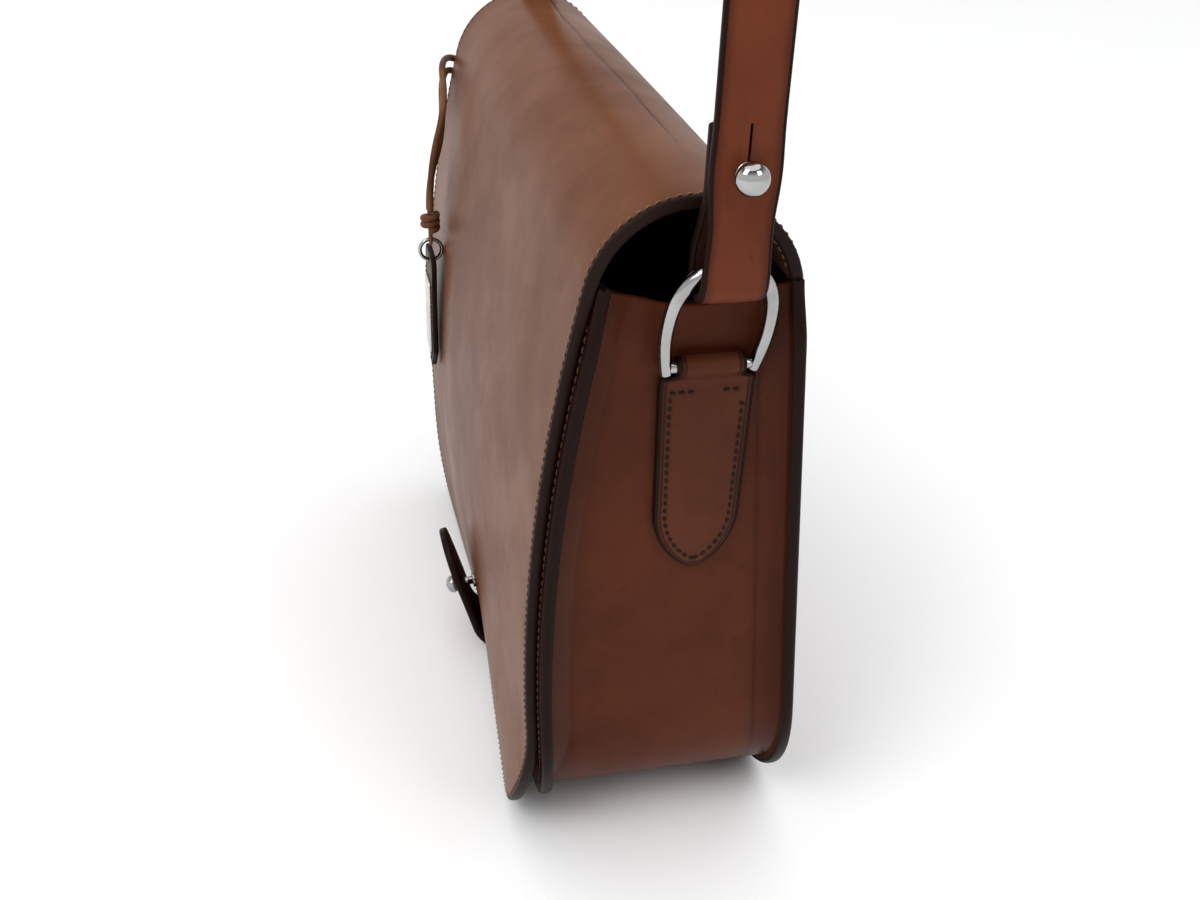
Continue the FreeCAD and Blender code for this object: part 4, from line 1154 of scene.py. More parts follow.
@dataclass
class Flap(LeatherPiece):
    """Flap of two leathers, down the front and arched over the mouth to the back seam."""

    shape: BagShape
    thick: float = 4.0
    half: float = 141.0
    foot: float = 6.0
    gap: float = 0.3
    arch_inside: float = 30.66
    arch_y: float = -6.913
    arch_z: float = 219.187
    lean: float = 13.41
    heel: float = 12.58
    corner: float = 46.0
    pillow: float = 2.0
    swell_power: float = 0.9
    sag: float = -1.0
    flare: float = 9.5
    flare_run: float = 54.0
    far_flare: float = 0.25
    drop: float = 2.6
    drop_zone: Span = (16.0, 70.0)
    drop_run: float = 70.0
    crease_depth: float = 0.2
    crease_width: float = 0.8
    crease_share: float = 0.55
    crease_end: Span = (40.0, 118.0)
    crease_waves: tuple[Span, ...] = ((0.9, 31.0), (0.5, 11.0))
    crease_rows: float = 3.6
    edge_foot: float = 0.6
    edge_side: float = 0.7
    seam_inset: float = 1.7
    back_inset: float = 3.0
    back_ends: float = 4.0
    track: Track = field(init=False)
    front_run: float = field(init=False)

    def __post_init__(self) -> None:
        """Draw the side view of the flap's middle surface: a wide arc up the front that runs on
        into a tight one over the mouth, down to the back seam."""
        out = self.gap + self.thick / 2
        joint = self.shape.round_z + (self.shape.radius + out) * np.sin(np.radians(self.lean))
        z = np.linspace(self.foot + self.edge_foot, joint, 120)
        front = np.stack([self.shape.front_edge(z, out), z], axis=1)
        radius = self.arch_inside + self.thick / 2
        bow = arc((self.arch_y, self.arch_z), radius, 180.0 - self.lean, self.heel, 90)
        self.front_run = Track(front).length
        self.track = Track(rounded(np.concatenate([front, bow[1:]]), 1.5))

    def form(self, u: Array, s: Array) -> Array:
        """Across and up the front: the side view, full in the middle of the front and of the crest,
        standing off at the lower corners beside the buttoned middle, and creased."""
        y, z = self.track.at(s)
        ny, nz = self.track.normal(s)
        middle = held(1.0 - (u / self.half) ** 2)
        swell = np.sin(np.pi * held(s / self.front_run) ** self.swell_power)
        top = (s - self.front_run) / (self.track.length - self.front_run)
        lift = middle * (self.pillow * swell - self.sag * np.sin(np.pi * held(top)))
        corner = np.where(u > 0, u / self.half, self.far_flare * (u / self.half) ** 2)
        lift = lift + self.flare * corner * (1.0 - ease(0.0, self.flare_run, s))
        lift = lift - self.crease_depth * self.crease(u, s)
        fall = self.drop * ease(*self.drop_zone, np.abs(u)) * (1.0 - ease(0.0, self.drop_run, s))
        return np.stack([u, y + ny * lift, z + nz * lift - fall], axis=-1)

    @property
    def crest(self) -> float:
        """Length up the flap at which it is creased, at the top of its arch."""
        return self.front_run + self.crease_share * (self.track.length - self.front_run)

    def crease(self, u: Array, s: Array) -> Array:
        """Share of the crease at a place: a thin line that dies out towards the right end."""
        way = s - self.crest
        for high, run in self.crease_waves:
            way = way - high * np.sin(u / run)
        return (1.0 - ease(*self.crease_end, u)) * np.exp(-(way / self.crease_width) ** 2)

    def run_at(self, height: float) -> float:
        """Length up the flap at which its front reaches a height."""
        low = self.track.run < self.front_run
        return float(np.interp(height, self.track.points[low, 1], self.track.run[low]))

    @property
    def outline(self) -> Outline:
        """Outline with rounded lower corners; its rows end at the back seam, close at the crease."""
        plain = panel_outline(self.half - self.edge_side, self.track.length, self.corner, 30, 110)
        rows = np.union1d(plain.rows, self.crest + np.linspace(-self.crease_rows, self.crease_rows, 25))
        return Outline(rows, np.interp(rows, plain.rows, plain.half))

    def build(self, finishes: Finishes) -> None:
        """Make the flap and its seams; it bends behind the crest when it is lifted."""
        outline = self.outline
        half = outline.half[-1]
        u, s = outline.grid(mirrored(EDGE_STEPS, half))
        rim_mm = panel_rim(u, s, half, self.corner)
        # The crease is dented in the sheet and also painted dark along it as shade.
        flap = sheet_mesh("flap_leather_sheet", self.form(u, s), self.thick, rim_mm, Rim(0.9, 0.12, 7),
                          mark=self.crease(u, s))
        thread = Thread(pitch=3.0, length=2.3, width=0.5)
        places = outline.stitches(self.seam_inset, thread.pitch, 2.0)
        outer = self.seam("flap_outer_stitches", places, thread)
        inner = self.seam("flap_inner_stitches", places, thread, -1.0)
        row = np.arange(-half + self.back_ends, half - self.back_ends, thread.pitch)
        places = np.stack([row, np.full(row.size, s.max() - self.back_inset)], axis=1)
        back = self.seam("flap_back_stitches", places, thread)
        sewn = ((outer, finishes.tan), (inner, finishes.tan), (back, finishes.brown))
        for piece, material in ((flap, finishes.flap), *sewn):
            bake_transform(piece, "bag_body", "flap", start=(0.0, 0.027, 0.2263), end=(0.0, 0.004, 0.2263))
            dress(piece, material, "flap", "flap_leather")
        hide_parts("flap_outer", "flap_lining")


# Straps, rings and studs


RING_BAR = (139.9, 199.0)
FOLD = (149.383, 232.375)
STRAP_X = 155.883
TAIL_X = 151.333
STUD_Z = 265.375
STRAP_HALF = 1.5


@dataclass
class Strap(LeatherPiece):
    """Strap with both ends folded through the rings, the tails behind its legs."""

    thick: float = 3.0
    width: float = 20.0
    fold: float = 6.5
    tail: float = 45.0
    rise: float = 400.0
    bend_drop: float = 9.0
    edge: float = 0.7
    slit: float = 14.0
    slit_half: float = 0.35
    hollow: float = 0.35
    fullness: float = 0.05
    waist: float = 0.06
    waist_drop: float = 17.0
    swell_run: float = 9.0
    ripple: float = 0.10
    ripple_pitch: float = 4.2
    ripple_rise: float = 13.0
    ripple_run: float = 8.0
    close_run: float = 92.0
    near_run: float = 180.0
    track: Track = field(init=False)

    def __post_init__(self) -> None:
        """Draw the middle line: tail, fold, leg, arch, and the same mirrored."""
        knee = [[TAIL_X, FOLD[1] + self.tail], [TAIL_X, STUD_Z - self.bend_drop],
                [FOLD[0] - self.fold, FOLD[1] + self.fold]]
        half = np.concatenate([knee, arc(FOLD, self.fold, 180.0, 360.0), [[STRAP_X, self.rise]],
                               arc((0.0, self.rise), STRAP_X, 0.0, 90.0, 120)[1:]])
        self.track = Track(rounded(np.concatenate([half, (half * [-1.0, 1.0])[::-1][1:]]), 1.6))

    def form(self, u: Array, s: Array) -> Array:
        """Across the strap and along its middle line: slightly hollow, full at the studs and waisted
        under them, with fine ripples above them."""
        x, z = self.track.at(s)
        nx, nz = self.track.normal(s)
        rise = np.minimum(s, self.track.length - s) - self._stud_run()
        share = u / (self.width / 2)
        full = self.fullness * np.exp(-(rise / self.swell_run) ** 2)
        waist = self.waist * np.exp(-((rise + self.waist_drop) / self.swell_run) ** 2)
        fade = np.exp(-((rise - self.ripple_rise) / self.ripple_run) ** 2)
        ripple = self.ripple * np.sin(2 * np.pi * s / self.ripple_pitch) * fade * share ** 2
        cup = self.hollow * share ** 2 + ripple
        return np.stack([x + nx * cup, u * (1.0 + full - waist), z + nz * cup], axis=-1)

    def _rows(self) -> Array:
        """Rows along the strap: close at the folds, wide on the arch."""
        length = self.track.length
        low = np.concatenate([[0.0, 0.5, 1.2], np.arange(2.4, self.close_run, 1.4)])
        stud = self._stud_run()
        slit = stud + np.linspace(0.0, self.slit, 12)
        near = np.union1d(np.concatenate([low, np.arange(self.close_run, self.near_run, 3.0)]), slit)
        near = near[(near <= slit[0]) | (near >= slit[-1]) | np.isin(near, slit)]
        middle = np.linspace(self.near_run, length - self.near_run, 110)
        return np.concatenate([near, middle, (length - near)[::-1]])

    def _stud_run(self) -> float:
        """Length along the strap from its tail's end to the stud on the outer leg."""
        line = self.track.points
        leg = (np.abs(line[:, 0] - STRAP_X) < 0.5) & (line[:, 1] < self.rise)
        return float(np.interp(STUD_Z, line[leg, 1], self.track.run[leg]))

    def build(self, finishes: Finishes) -> None:
        """Make the strap with a slit over each stud."""
        half = self.width / 2 - self.edge
        columns = np.array([0.0, 0.3, 0.7, 1.3, 2.0, 2.8, 3.6, 5.0, 6.6, half - self.slit_half])
        across = np.concatenate([-(half - columns), (half - columns)[::-1]])
        rows = self._rows()
        u, s = np.meshgrid(across, rows)
        stud = self._stud_run()
        middle_column = len(columns) - 1
        dropped = np.zeros((len(rows) - 1, len(across) - 1), bool)
        centre = (rows[:-1] + rows[1:]) / 2
        for run in (centre, self.track.length - centre):
            dropped[(run > stud) & (run < stud + self.slit), middle_column] = True
        rim_mm = np.minimum(half - np.abs(u), np.minimum(s, self.track.length - s))
        strap = sheet_mesh("strap_leather_sheet", self.form(u, s), self.thick, rim_mm, Rim(0.9, 0.1),
                           dropped)
        dress(strap, finishes.strap, "strap", "strap_leather", "shoulder_strap")


@dataclass(frozen=True)
class BallStud:
    """Plated ball stud: foot, neck, collar and a ball with a slightly flat crown."""

    head: float = 10.0
    neck: float = 5.0
    foot: float = 9.0
    foot_thick: float = 1.5
    flat: float = 0.76
    cut: float = 1.05
    collar: float = 0.76
    collar_edge: float = 0.70

    def profile(self, neck_end: float) -> Array:
        """Profile of (along, radius) from the foot to the crown.

        Args:
            neck_end: length from the seat to where the collar begins.

        Returns:
            Points with doubled corners, so that edges stay crisp.
        """
        r, foot, neck, top = self.head / 2, self.foot / 2, self.neck / 2, self.foot_thick
        turn = np.linspace(-self.cut, np.pi / 2, 26)
        centre = neck_end + 1.0 + r * self.flat * np.sin(self.cut)
        ball = np.stack([centre + r * self.flat * np.sin(turn), r * np.cos(turn)], axis=1)
        ball[-1, 1] = 0.01
        lead = [[0.0, 0.01], [0.0, foot - 0.3], [0.1, foot - 0.05], [0.35, foot],
                [top - 0.35, foot], [top - 0.1, foot - 0.05], [top, foot - 0.3],
                [top, neck + 0.1], [top + 0.1, neck], [neck_end - 0.1, neck],
                [neck_end, neck + 0.1], [neck_end, r * self.collar_edge], [neck_end + 0.12, r * self.collar],
                [neck_end + 0.7, r * self.collar], [neck_end + 0.85, r * self.collar_edge]]
        return np.concatenate([lead, ball])


class Carry:
    """Strap, its studs, the rings and the chapes that hold them."""

    ring_half: float = 16.0
    ring_foot_half: float = 14.0
    ring_top: float = 37.5
    ring_belly: float = 13.0
    ring_foot: float = 1.9
    ring_power: float = 2.5
    ring_wire: float = 2.3
    bar_wire: float = 1.9
    draw_power: float = 1.7
    collar_gap: float = 0.15
    ring_tilt: float = np.radians(16.0)

    def _lean(self, side: float, flat: Array) -> Array:
        """Points of (across, up a ring) on the plane in which the ring leans out."""
        x = side * (RING_BAR[0] + flat[:, 1] * np.sin(self.ring_tilt))
        return np.stack([x, flat[:, 0], RING_BAR[1] + flat[:, 1] * np.cos(self.ring_tilt)], axis=1)

    def _ring(self, name: str, side: float) -> Object:
        """Ring's wire from one cut foot to the other: half a superellipse over legs drawn in below."""
        turn = np.linspace(np.pi, 0.0, 120)
        power = 2.0 / self.ring_power
        across = self.ring_half * np.sign(np.cos(turn)) * np.abs(np.cos(turn)) ** power
        up = self.ring_belly + (self.ring_top - self.ring_belly) * np.abs(np.sin(turn)) ** power
        rise = np.linspace(-self.ring_foot, self.ring_belly, 24)[:-1]
        drawn = ((self.ring_belly - rise) / (self.ring_belly + self.ring_foot)) ** self.draw_power
        leg = np.stack([self.ring_half - (self.ring_half - self.ring_foot_half) * drawn, rise], axis=1)
        flat = np.concatenate([leg * [-1.0, 1.0], np.stack([across, up], axis=1), leg[::-1]])
        lean = (side * np.cos(self.ring_tilt), 0.0, -np.sin(self.ring_tilt))
        return tube_mesh(name, self._lean(side, rounded(flat, 0.8, 0.5)), self.ring_wire, 24, lean=lean)

    def _bar(self, name: str, side: float) -> Object:
        """Ring's straight bar, inside the chape's roll."""
        flat = np.stack([np.linspace(-self.ring_foot_half, self.ring_foot_half, 12), np.zeros(12)], axis=1)
        return tube_mesh(name, self._lean(side, flat), self.bar_wire, 16, lean=(side, 0.0, 0.0))

    def build(self, finishes: Finishes) -> None:
        """Make the strap, then the rings, chapes and studs of both ends."""
        Strap().build(finishes)
        stud = BallStud()
        for side in Side:
            end = side.name.lower()
            ring = self._ring("ring_wire_" + end, side.value)
            bar = self._bar("ring_bar_" + end, side.value)
            dress(ring, finishes.chrome, "ring_" + end, "ring_metal", "d_ring_" + end)
            dress(bar, finishes.chrome, "ring_" + end, "ring_metal")
            Chape(side).build(finishes)
            seat = TAIL_X + STRAP_HALF
            reach = STRAP_X + STRAP_HALF - seat + self.collar_gap
            head = turned_mesh("strap_ball_stud_" + end, stud.profile(reach),
                               (side.value * seat, 0.0, STUD_Z), (side.value, 0.0, 0.0))
            dress(head, finishes.chrome, "strap", "stud_metal", "strap_stud_" + end)
        cover(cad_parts["strap_stud_screws"], finishes.chrome)


@dataclass
class Chape(LeatherPiece):
    """Shield sewn to the gusset, its neck rolled round the ring's bar and tucked behind."""

    side: Side
    face: float = 136.0
    thick: float = 1.7
    shield_thick: float = 3.0
    roll: float = 2.9
    length: float = 76.0
    half: float = 15.0
    neck: float = 10.3
    shoulder: float = 5.0
    tip: float = 20.0
    tip_power: float = 1.8
    tip_round: float = 0.60
    taper: float = 0.10
    crown: float = 0.8
    crown_half: float = 12.0
    crown_foot: Span = (3.0, 16.0)
    crown_head: Span = (56.0, 67.0)
    thin_zone: Span = (64.5, 71.0)
    neck_zone: Span = (-0.5, 2.5)
    lift: Span = (8.5, 5.0)
    lift_out: float = 1.0
    tuck: float = 6.0
    seam_inset: float = 3.2
    sewn_run: float = 66.0
    cross_stitches: tuple[float, ...] = (-11.2, -8.2, -5.2, 6.4, 9.4)
    track: Track = field(init=False)

    def __post_init__(self) -> None:
        """Draw the middle line from the tip up the gusset, over the bar and down behind it."""
        flat = self.face + self.shield_thick / 2 - 0.1
        foot = RING_BAR[1] - self.length
        line = [[flat, foot + 0.6], [flat, RING_BAR[1] - self.lift[0]],
                [flat + self.lift_out, RING_BAR[1] - self.lift[1]]]
        roll = arc(RING_BAR, self.roll, -10.0, 190.0)
        behind = [[RING_BAR[0] - self.roll, RING_BAR[1] - self.tuck]]
        self.track = Track(rounded(np.concatenate([line, roll, behind]), 0.8, 0.3))

    def form(self, u: Array, s: Array) -> Array:
        """Across the chape and along its middle line, its shield full in the middle."""
        x, z = self.track.at(s)
        along = ease(*self.crown_foot, s) * (1.0 - ease(*self.crown_head, s))
        swell = along * held(1.0 - (u / self.crown_half) ** 2)
        return np.stack([self.side.value * (x + self.crown * swell), self.side.value * u, z], axis=-1)

    def _half_at(self, s: Array) -> Array:
        """Half width: a rounded point at the tip, straight sides, shoulders in to the neck."""
        t = held(s / self.tip)
        point = self.half * (1.0 - (1.0 - t) ** self.tip_power) ** self.tip_round
        point = point * (1.0 - self.taper * (1.0 - held(s / self.sewn_run)))
        low, high = (self.length - self.shoulder + step for step in self.neck_zone)
        return point + (self.neck - self.half) * ease(low, high, s)

    def build(self, finishes: Finishes) -> None:
        """Make the chape and its row of stitches."""
        length = self.track.length
        rows = np.concatenate([[0.25, 0.8, 1.6], np.linspace(2.8, 63.0, 46), np.linspace(64.0, length, 60)])
        outline = Outline(rows, self._half_at(rows))
        steps = (0.0, 0.3, 0.7, 1.2, 1.9, 2.7, 3.6, 5.0, 7.0, 9.5)
        u, s = outline.grid(mirrored(steps, self.half))
        thick = self.thick + (self.shield_thick - self.thick) * (1.0 - ease(*self.thin_zone, s))
        rim_mm = np.minimum(outline.half[:, None] - np.abs(u), np.maximum(s, 0.0) + 0.2)
        end = self.side.name.lower()
        chape = sheet_mesh("chape_shield_" + end, self.form(u, s), thick, rim_mm, Rim(0.6, 0.15))
        dress(chape, finishes.chape, "bag_body", "strap_leather", "chape_" + end)
        sewn = rows <= self.sewn_run + 0.5
        line = Outline(rows[sewn], outline.half[sewn])
        thread = Thread(pitch=2.9, length=2.3, width=1.15, slant=0.1, rise=0.2)
        places = line.stitches(self.seam_inset, thread.pitch, 1.5)
        cross = np.array([(across, self.sewn_run) for across in self.cross_stitches])
        shield = Chape(self.side, thick=self.shield_thick)
        stitches = shield.seam("chape_stitches_" + end, np.concatenate([places, cross]), thread)
        dress(stitches, finishes.black, "bag_body", "strap_leather")


@dataclass
class ClosingTab(LeatherPiece):
    """Tab from under the bag that buttons on the flap's ball stud."""

    thick: float = 3.2
    half: float = 17.0
    length: float = 52.0
    lean: float = np.radians(16.0)
    fold_y: float = -52.743
    fold_z: float = 2.4
    tip: float = 15.0
    hole_run: float = 28.0
    hole_reach: float = 2.0
    hole: float = 4.5
    hole_patch: float = 12.0
    curl: float = 1.0
    hollow: float = 0.5
    tuck_run: float = 10.0
    tuck_in: float = 3.0
    tuck_up: float = 0.8
    edge: float = 0.7
    strip_half: float = 16.4
    stud_height: float = 27.4
    stud_run: float = 26.0
    stud_short: float = 0.9
    stud: BallStud = BallStud(head=8.0, neck=3.6, foot=6.4)

    def form(self, u: Array, s: Array) -> Array:
        """Across the tab and up from its fold, tucked in at the fold and curled out towards the tip."""
        bend = self.curl * (s / self.length) ** 2 + self.hollow * (u / self.half) ** 2
        tuck = held(1.0 - s / self.tuck_run) ** 2
        y = self.fold_y - s * np.sin(self.lean) - bend * np.cos(self.lean) + self.tuck_in * tuck
        z = self.fold_z + s * np.cos(self.lean) - bend * np.sin(self.lean) + self.tuck_up * tuck
        return np.stack([u, y, z], axis=-1)

    def build(self, finishes: Finishes, flap: Flap) -> None:
        """Make the tab with its hole, the strip under the bag, and the stud on the flap."""
        turn = np.linspace(np.pi / 2, 0.06, 22)
        hole_rows = self.hole_run + np.concatenate([
            np.linspace(-self.hole - self.hole_reach, -self.hole_reach, 7),
            np.linspace(self.hole_reach, self.hole + self.hole_reach, 7)])
        top = self.length - self.edge - self.tip
        rows = np.concatenate([np.linspace(0.0, 22.0, 14), hole_rows, [38.0], top + self.tip * np.cos(turn)])
        rows = np.unique(np.round(rows, 4))
        corner = np.clip(rows - top, 0.0, self.tip)
        half = self.half - self.edge - self.tip + np.sqrt(self.tip ** 2 - corner ** 2)
        outline = Outline(rows, half)
        columns = (16.3, 16.0, 15.5, 14.8, 14.0, 13.0, 11.5, 9.5, 7.0, 4.5, 3.0, 1.5, 0.0)
        u, s = outline.grid(both_ways(columns))
        u, s, dropped = pierce(u, s, (0.0, self.hole_run), self.hole_reach, self.hole, self.hole_patch)
        rim_mm = np.minimum(outline.half[:, None] - np.abs(u), self.length - self.edge - s)
        tab = sheet_mesh("closing_tab_leather", self.form(u, s), self.thick, np.maximum(rim_mm, 0.0),
                         Rim(self.edge, 0.12), dropped)
        dress(tab, finishes.strap, "closure_tab", "strap_leather", "closure_tab")
        self._anchor(finishes)
        self._stud(finishes, flap)

    def _anchor(self, finishes: Finishes) -> None:
        """Strip that runs from the fold under the front seam to the floor of the bag."""
        line = np.array([[-50.6, 2.4], [-40.3, 2.4], [-33.1, 7.2], [-7.6, 7.2]])
        track = Track(rounded(line, 1.6))
        across = np.linspace(-self.strip_half, self.strip_half, 15)
        s, u = np.meshgrid(np.linspace(0.0, track.length, 46), across, indexing="ij")
        y, z = track.at(s)
        middle = np.stack([-u, y, z], axis=-1)
        strip = sheet_mesh("closing_tab_strip", middle, 3.0, self.strip_half - np.abs(u), Rim(0.6))
        dress(strip, finishes.strap, "bag_body", "strap_leather", "closure_tab_anchor")

    def _stud(self, finishes: Finishes, flap: Flap) -> None:
        """Ball stud through the hole, seated on the flap's full face."""
        middle, run = np.zeros(1), np.array([flap.run_at(self.stud_height)])
        way = flap.normal(middle, run)[0]
        seat = flap.form(middle, run)[0] + way * flap.thick / 2
        tab_y = self.form(middle, np.array([self.stud_run]))[0, 1] - self.thick / 2
        profile = self.stud.profile(abs(tab_y - seat[1]) - self.stud_short)
        stud = turned_mesh("closing_ball_stud", profile, seat - way * 0.1, way)
        dress(stud, finishes.chrome, "flap", "stud_metal", "closure_stud")
        cover(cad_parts["closure_stud_screw"], finishes.chrome)


# The hang tag


LACE_ROUTE = (
    (-92.3, -60.5, 168.0), (-92.3, -60.5, 181.0), (-99.0, -52.5, 201.0), (-143.5, -48.0, 218.0),
    (-149.6, -38.0, 214.6), (-149.6, -27.5, 210.7), (-138.9, -19.7, 209.0), (-138.4, -10.4, 209.3),
    (-147.6, -10.4, 209.3), (-150.0, -22.0, 212.3), (-150.3, -36.0, 219.8), (-142.0, -48.5, 224.5),
    (-99.0, -51.0, 214.0), (-87.7, -60.5, 188.0), (-87.7, -60.5, 168.0),
)


@dataclass
class HangTag(LeatherPiece):
    """Leather tag with a bare plate, on a ring in the eye of a knotted lace."""

    thick: float = 2.4
    half: float = 13.0
    length: float = 58.0
    point: float = 12.0
    corner: float = 4.8
    edge: float = 0.5
    blunt: float = 0.04
    bow: float = 0.25
    seam_inset: float = 1.9
    sewn_zone: Span = (0.9, 50.0)
    eye: Place = (-90.0, -60.5, 144.5)
    eye_radius: float = 1.6
    plate_half: float = 7.5
    plate_length: float = 36.0
    plate_corner: float = 3.0
    plate_thick: float = 1.2
    plate_fit: float = 0.96
    plate_crown: float = 0.3
    plate_drop: float = 2.4
    wrap_radius: float = 2.9
    wrap_thick: float = 1.65
    wrap_turns: float = 2.3
    knot_foot: float = 159.7
    knot_rise: float = 6.6
    loop_radius: float = 2.15
    loop_thick: float = 0.75
    loop_heights: Place = (154.6, 158.0, 161.0)
    lace_length: float = 0.2649
    lace_diameter: float = 0.003

    def form(self, u: Array, s: Array) -> Array:
        """Across the tag and up from its point."""
        x, y, z = self.eye
        bow = self.bow * np.sin(np.pi * s / self.length)
        return np.stack([x + u, y - bow, z + self.corner - self.length + s], axis=-1)

    def _tag(self, finishes: Finishes) -> None:
        """Tag with a pointed foot, rounded shoulders and an eye."""
        eye = self.length - self.corner
        turn = np.linspace(np.pi / 2, 0.1, 9)
        top = self.length - self.edge - self.corner
        hole = eye + self.eye_radius * np.array([-1.0, -0.5, 0.0, 0.5, 1.0])
        shoulder = top + self.corner * np.cos(turn)
        shoulder = shoulder[shoulder > hole[-1] + 0.3]
        rows = np.concatenate([[0.3], np.linspace(1.0, self.point, 9),
                               np.linspace(self.point + 2.0, 48.0, 14), hole, shoulder])
        rows = np.unique(np.round(rows, 4))
        corner = np.clip(rows - top, 0.0, self.corner)
        half = self.half - self.edge - self.corner + np.sqrt(self.corner ** 2 - corner ** 2)
        half = half * held(self.blunt + (1.0 - self.blunt) * rows / self.point)
        outline = Outline(rows, half)
        columns = (12.5, 12.2, 11.7, 11.0, 10.0, 8.5, 6.5, 4.5, 3.0, 1.6, 0.8, 0.0)
        u, s = outline.grid(both_ways(columns))
        u, s, dropped = pierce(u, s, (0.0, eye), 0.0, self.eye_radius, 4.0)
        rim_mm = np.maximum(np.minimum(outline.half[:, None] - np.abs(u), self.length - self.edge - s), 0.0)
        tag = sheet_mesh("hang_tag_leather", self.form(u, s), self.thick, rim_mm, Rim(self.edge), dropped)
        dress(tag, finishes.tag, "hang_tag", "tag_leather", "hang_tag")
        thread = Thread(pitch=2.4, length=1.7, width=0.5)
        sewn = (rows > self.sewn_zone[0]) & (rows < self.sewn_zone[1])
        places = Outline(rows[sewn], half[sewn]).stitches(self.seam_inset, thread.pitch, 1.0)
        stitches = self.seam("hang_tag_stitches", places, thread)
        dress(stitches, finishes.brown, "hang_tag", "tag_leather")

    def _plate(self, finishes: Finishes) -> None:
        """Bare plate with round corners and a softly raised face."""
        half, tall, corner, thick = self.plate_half, self.plate_length, self.plate_corner, self.plate_thick
        turn = np.linspace(0.03, np.pi / 2, 9)
        low = corner * (1 - np.cos(turn))
        rows = np.concatenate([low, np.linspace(corner, tall - corner, 16)[1:-1], tall - low[::-1]])
        end = np.minimum(np.minimum(rows, tall - rows), corner)
        width = half - corner + np.sqrt(corner ** 2 - (corner - end) ** 2)
        columns = (7.5, 7.2, 6.8, 6.2, 5.2, 3.6, 1.8, 0.0)
        u, s = Outline(rows, width * self.plate_fit).grid(both_ways(columns))
        crown = self.plate_crown * (1.0 - (u / half) ** 2) * (1.0 - (2 * s / tall - 1.0) ** 2)
        x, y, z = self.eye
        drop = (self.length - self.corner) / 2 - self.corner / 2 + self.plate_drop
        middle = np.stack([x + u, y - self.thick / 2 - thick / 2 - crown, z - drop - tall / 2 + s], axis=-1)
        plate = sheet_mesh("tag_bare_plate", middle, thick, np.full(u.shape, FAR_FROM_RIM), Rim(0.35))
        dress(plate, finishes.plate, "hang_tag", "plate_metal", "tag_plate")

    def _knot(self, finishes: Finishes) -> Object:
        """Two turns of lace round the doubled ends, and the eye under them that holds the ring."""
        x, y, _ = self.eye
        turn = np.linspace(0.0, 2 * np.pi * self.wrap_turns, 120)
        wraps = np.stack([x + self.wrap_radius * np.cos(turn), y + self.wrap_radius * np.sin(turn),
                          self.knot_foot + self.knot_rise * turn / turn[-1]], axis=1)
        wrap = tube_mesh("lace_knot_wraps", wraps, self.wrap_thick, 14, lean=(0.0, 0.0, 1.0))
        dress(wrap, finishes.lace, "flap", "tag_leather", "tag_knot")
        r, (low, high, top) = self.loop_radius, self.loop_heights
        bow = arc((0.0, low), r, 180.0, 360.0, 24)
        line = rounded(np.concatenate([[[-r, top], [-r, high]], bow, [[r, high], [r, top]]]), 0.4, 0.2)
        loop = np.stack([x + line[:, 0], np.full(len(line), y), line[:, 1]], axis=1)
        eye = tube_mesh("lace_knot_eye", loop, self.loop_thick, 12, lean=(0.0, 1.0, 0.0))
        dress(eye, finishes.lace, "flap", "tag_leather")
        return wrap

    def _lace(self, finishes: Finishes, on_it: Sequence[Object]) -> None:
        """Lace on the smooth spline of its route, as a tube that bends when the flap is lifted."""
        curve = bpy.data.curves.new("lace_line", "CURVE")
        curve.dimensions = "3D"
        spline = curve.splines.new("NURBS")
        spline.points.add(len(LACE_ROUTE) - 1)
        route = np.array(LACE_ROUTE) * MM
        spline.points.foreach_set("co", np.column_stack([route, np.ones(len(route))]).ravel())
        spline.order_u = 3
        spline.use_endpoint_u = True
        spline.resolution_u = 14
        line_object = linked("lace_line", curve)
        mesh = bpy.data.meshes.new_from_object(line_object)
        path = np.empty(len(mesh.vertices) * 3)
        mesh.vertices.foreach_get("co", path)
        path = path.reshape(-1, 3)
        bpy.data.objects.remove(line_object)
        bpy.data.meshes.remove(mesh)
        lace = tube_mesh("tag_lace_cord", path / MM, self.lace_diameter / MM / 2, 14)
        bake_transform(lace, "bag_body", "flap", start=(-0.150, -0.026, 0.214), end=(-0.150, -0.046, 0.214))
        dress(lace, finishes.lace, "bag_body", "tag_leather", "tag_lace")

    def build(self, finishes: Finishes) -> None:
        """Make the tag, its plate, the knot and the lace, and finish the ring."""
        self._tag(finishes)
        self._plate(finishes)
        knot = self._knot(finishes)
        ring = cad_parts["tag_ring"]
        cover(ring, finishes.chrome)
        self._lace(finishes, (knot, ring))


# Studio


def stand(piece: Object, side: Array, up: Array, back: Array, place: Sequence[float]) -> None:
    """Turn an object to three axes and stand it at a place."""
    turn = np.eye(4)
    turn[:3] = np.column_stack([side, up, back, place])
    piece.matrix_world = Matrix(turn.tolist())


@dataclass(frozen=True)
class Lamp:
    """Square area lamp: its place, aim and side in metres, and its power in watts."""

    name: str
    place: Place
    aim: Place
    size: float
    power: float

    def build(self) -> None:
        """Hang the lamp, turned to its aim."""
        light = bpy.data.lights.new(self.name, "AREA")
        light.size = self.size
        light.energy = self.power
        back = unit(np.asarray(self.place, float) - np.asarray(self.aim, float))
        side = unit(np.cross([0.0, 0.0, 1.0], back))
        stand(linked(self.name, light), side, np.cross(back, side), back, self.place)


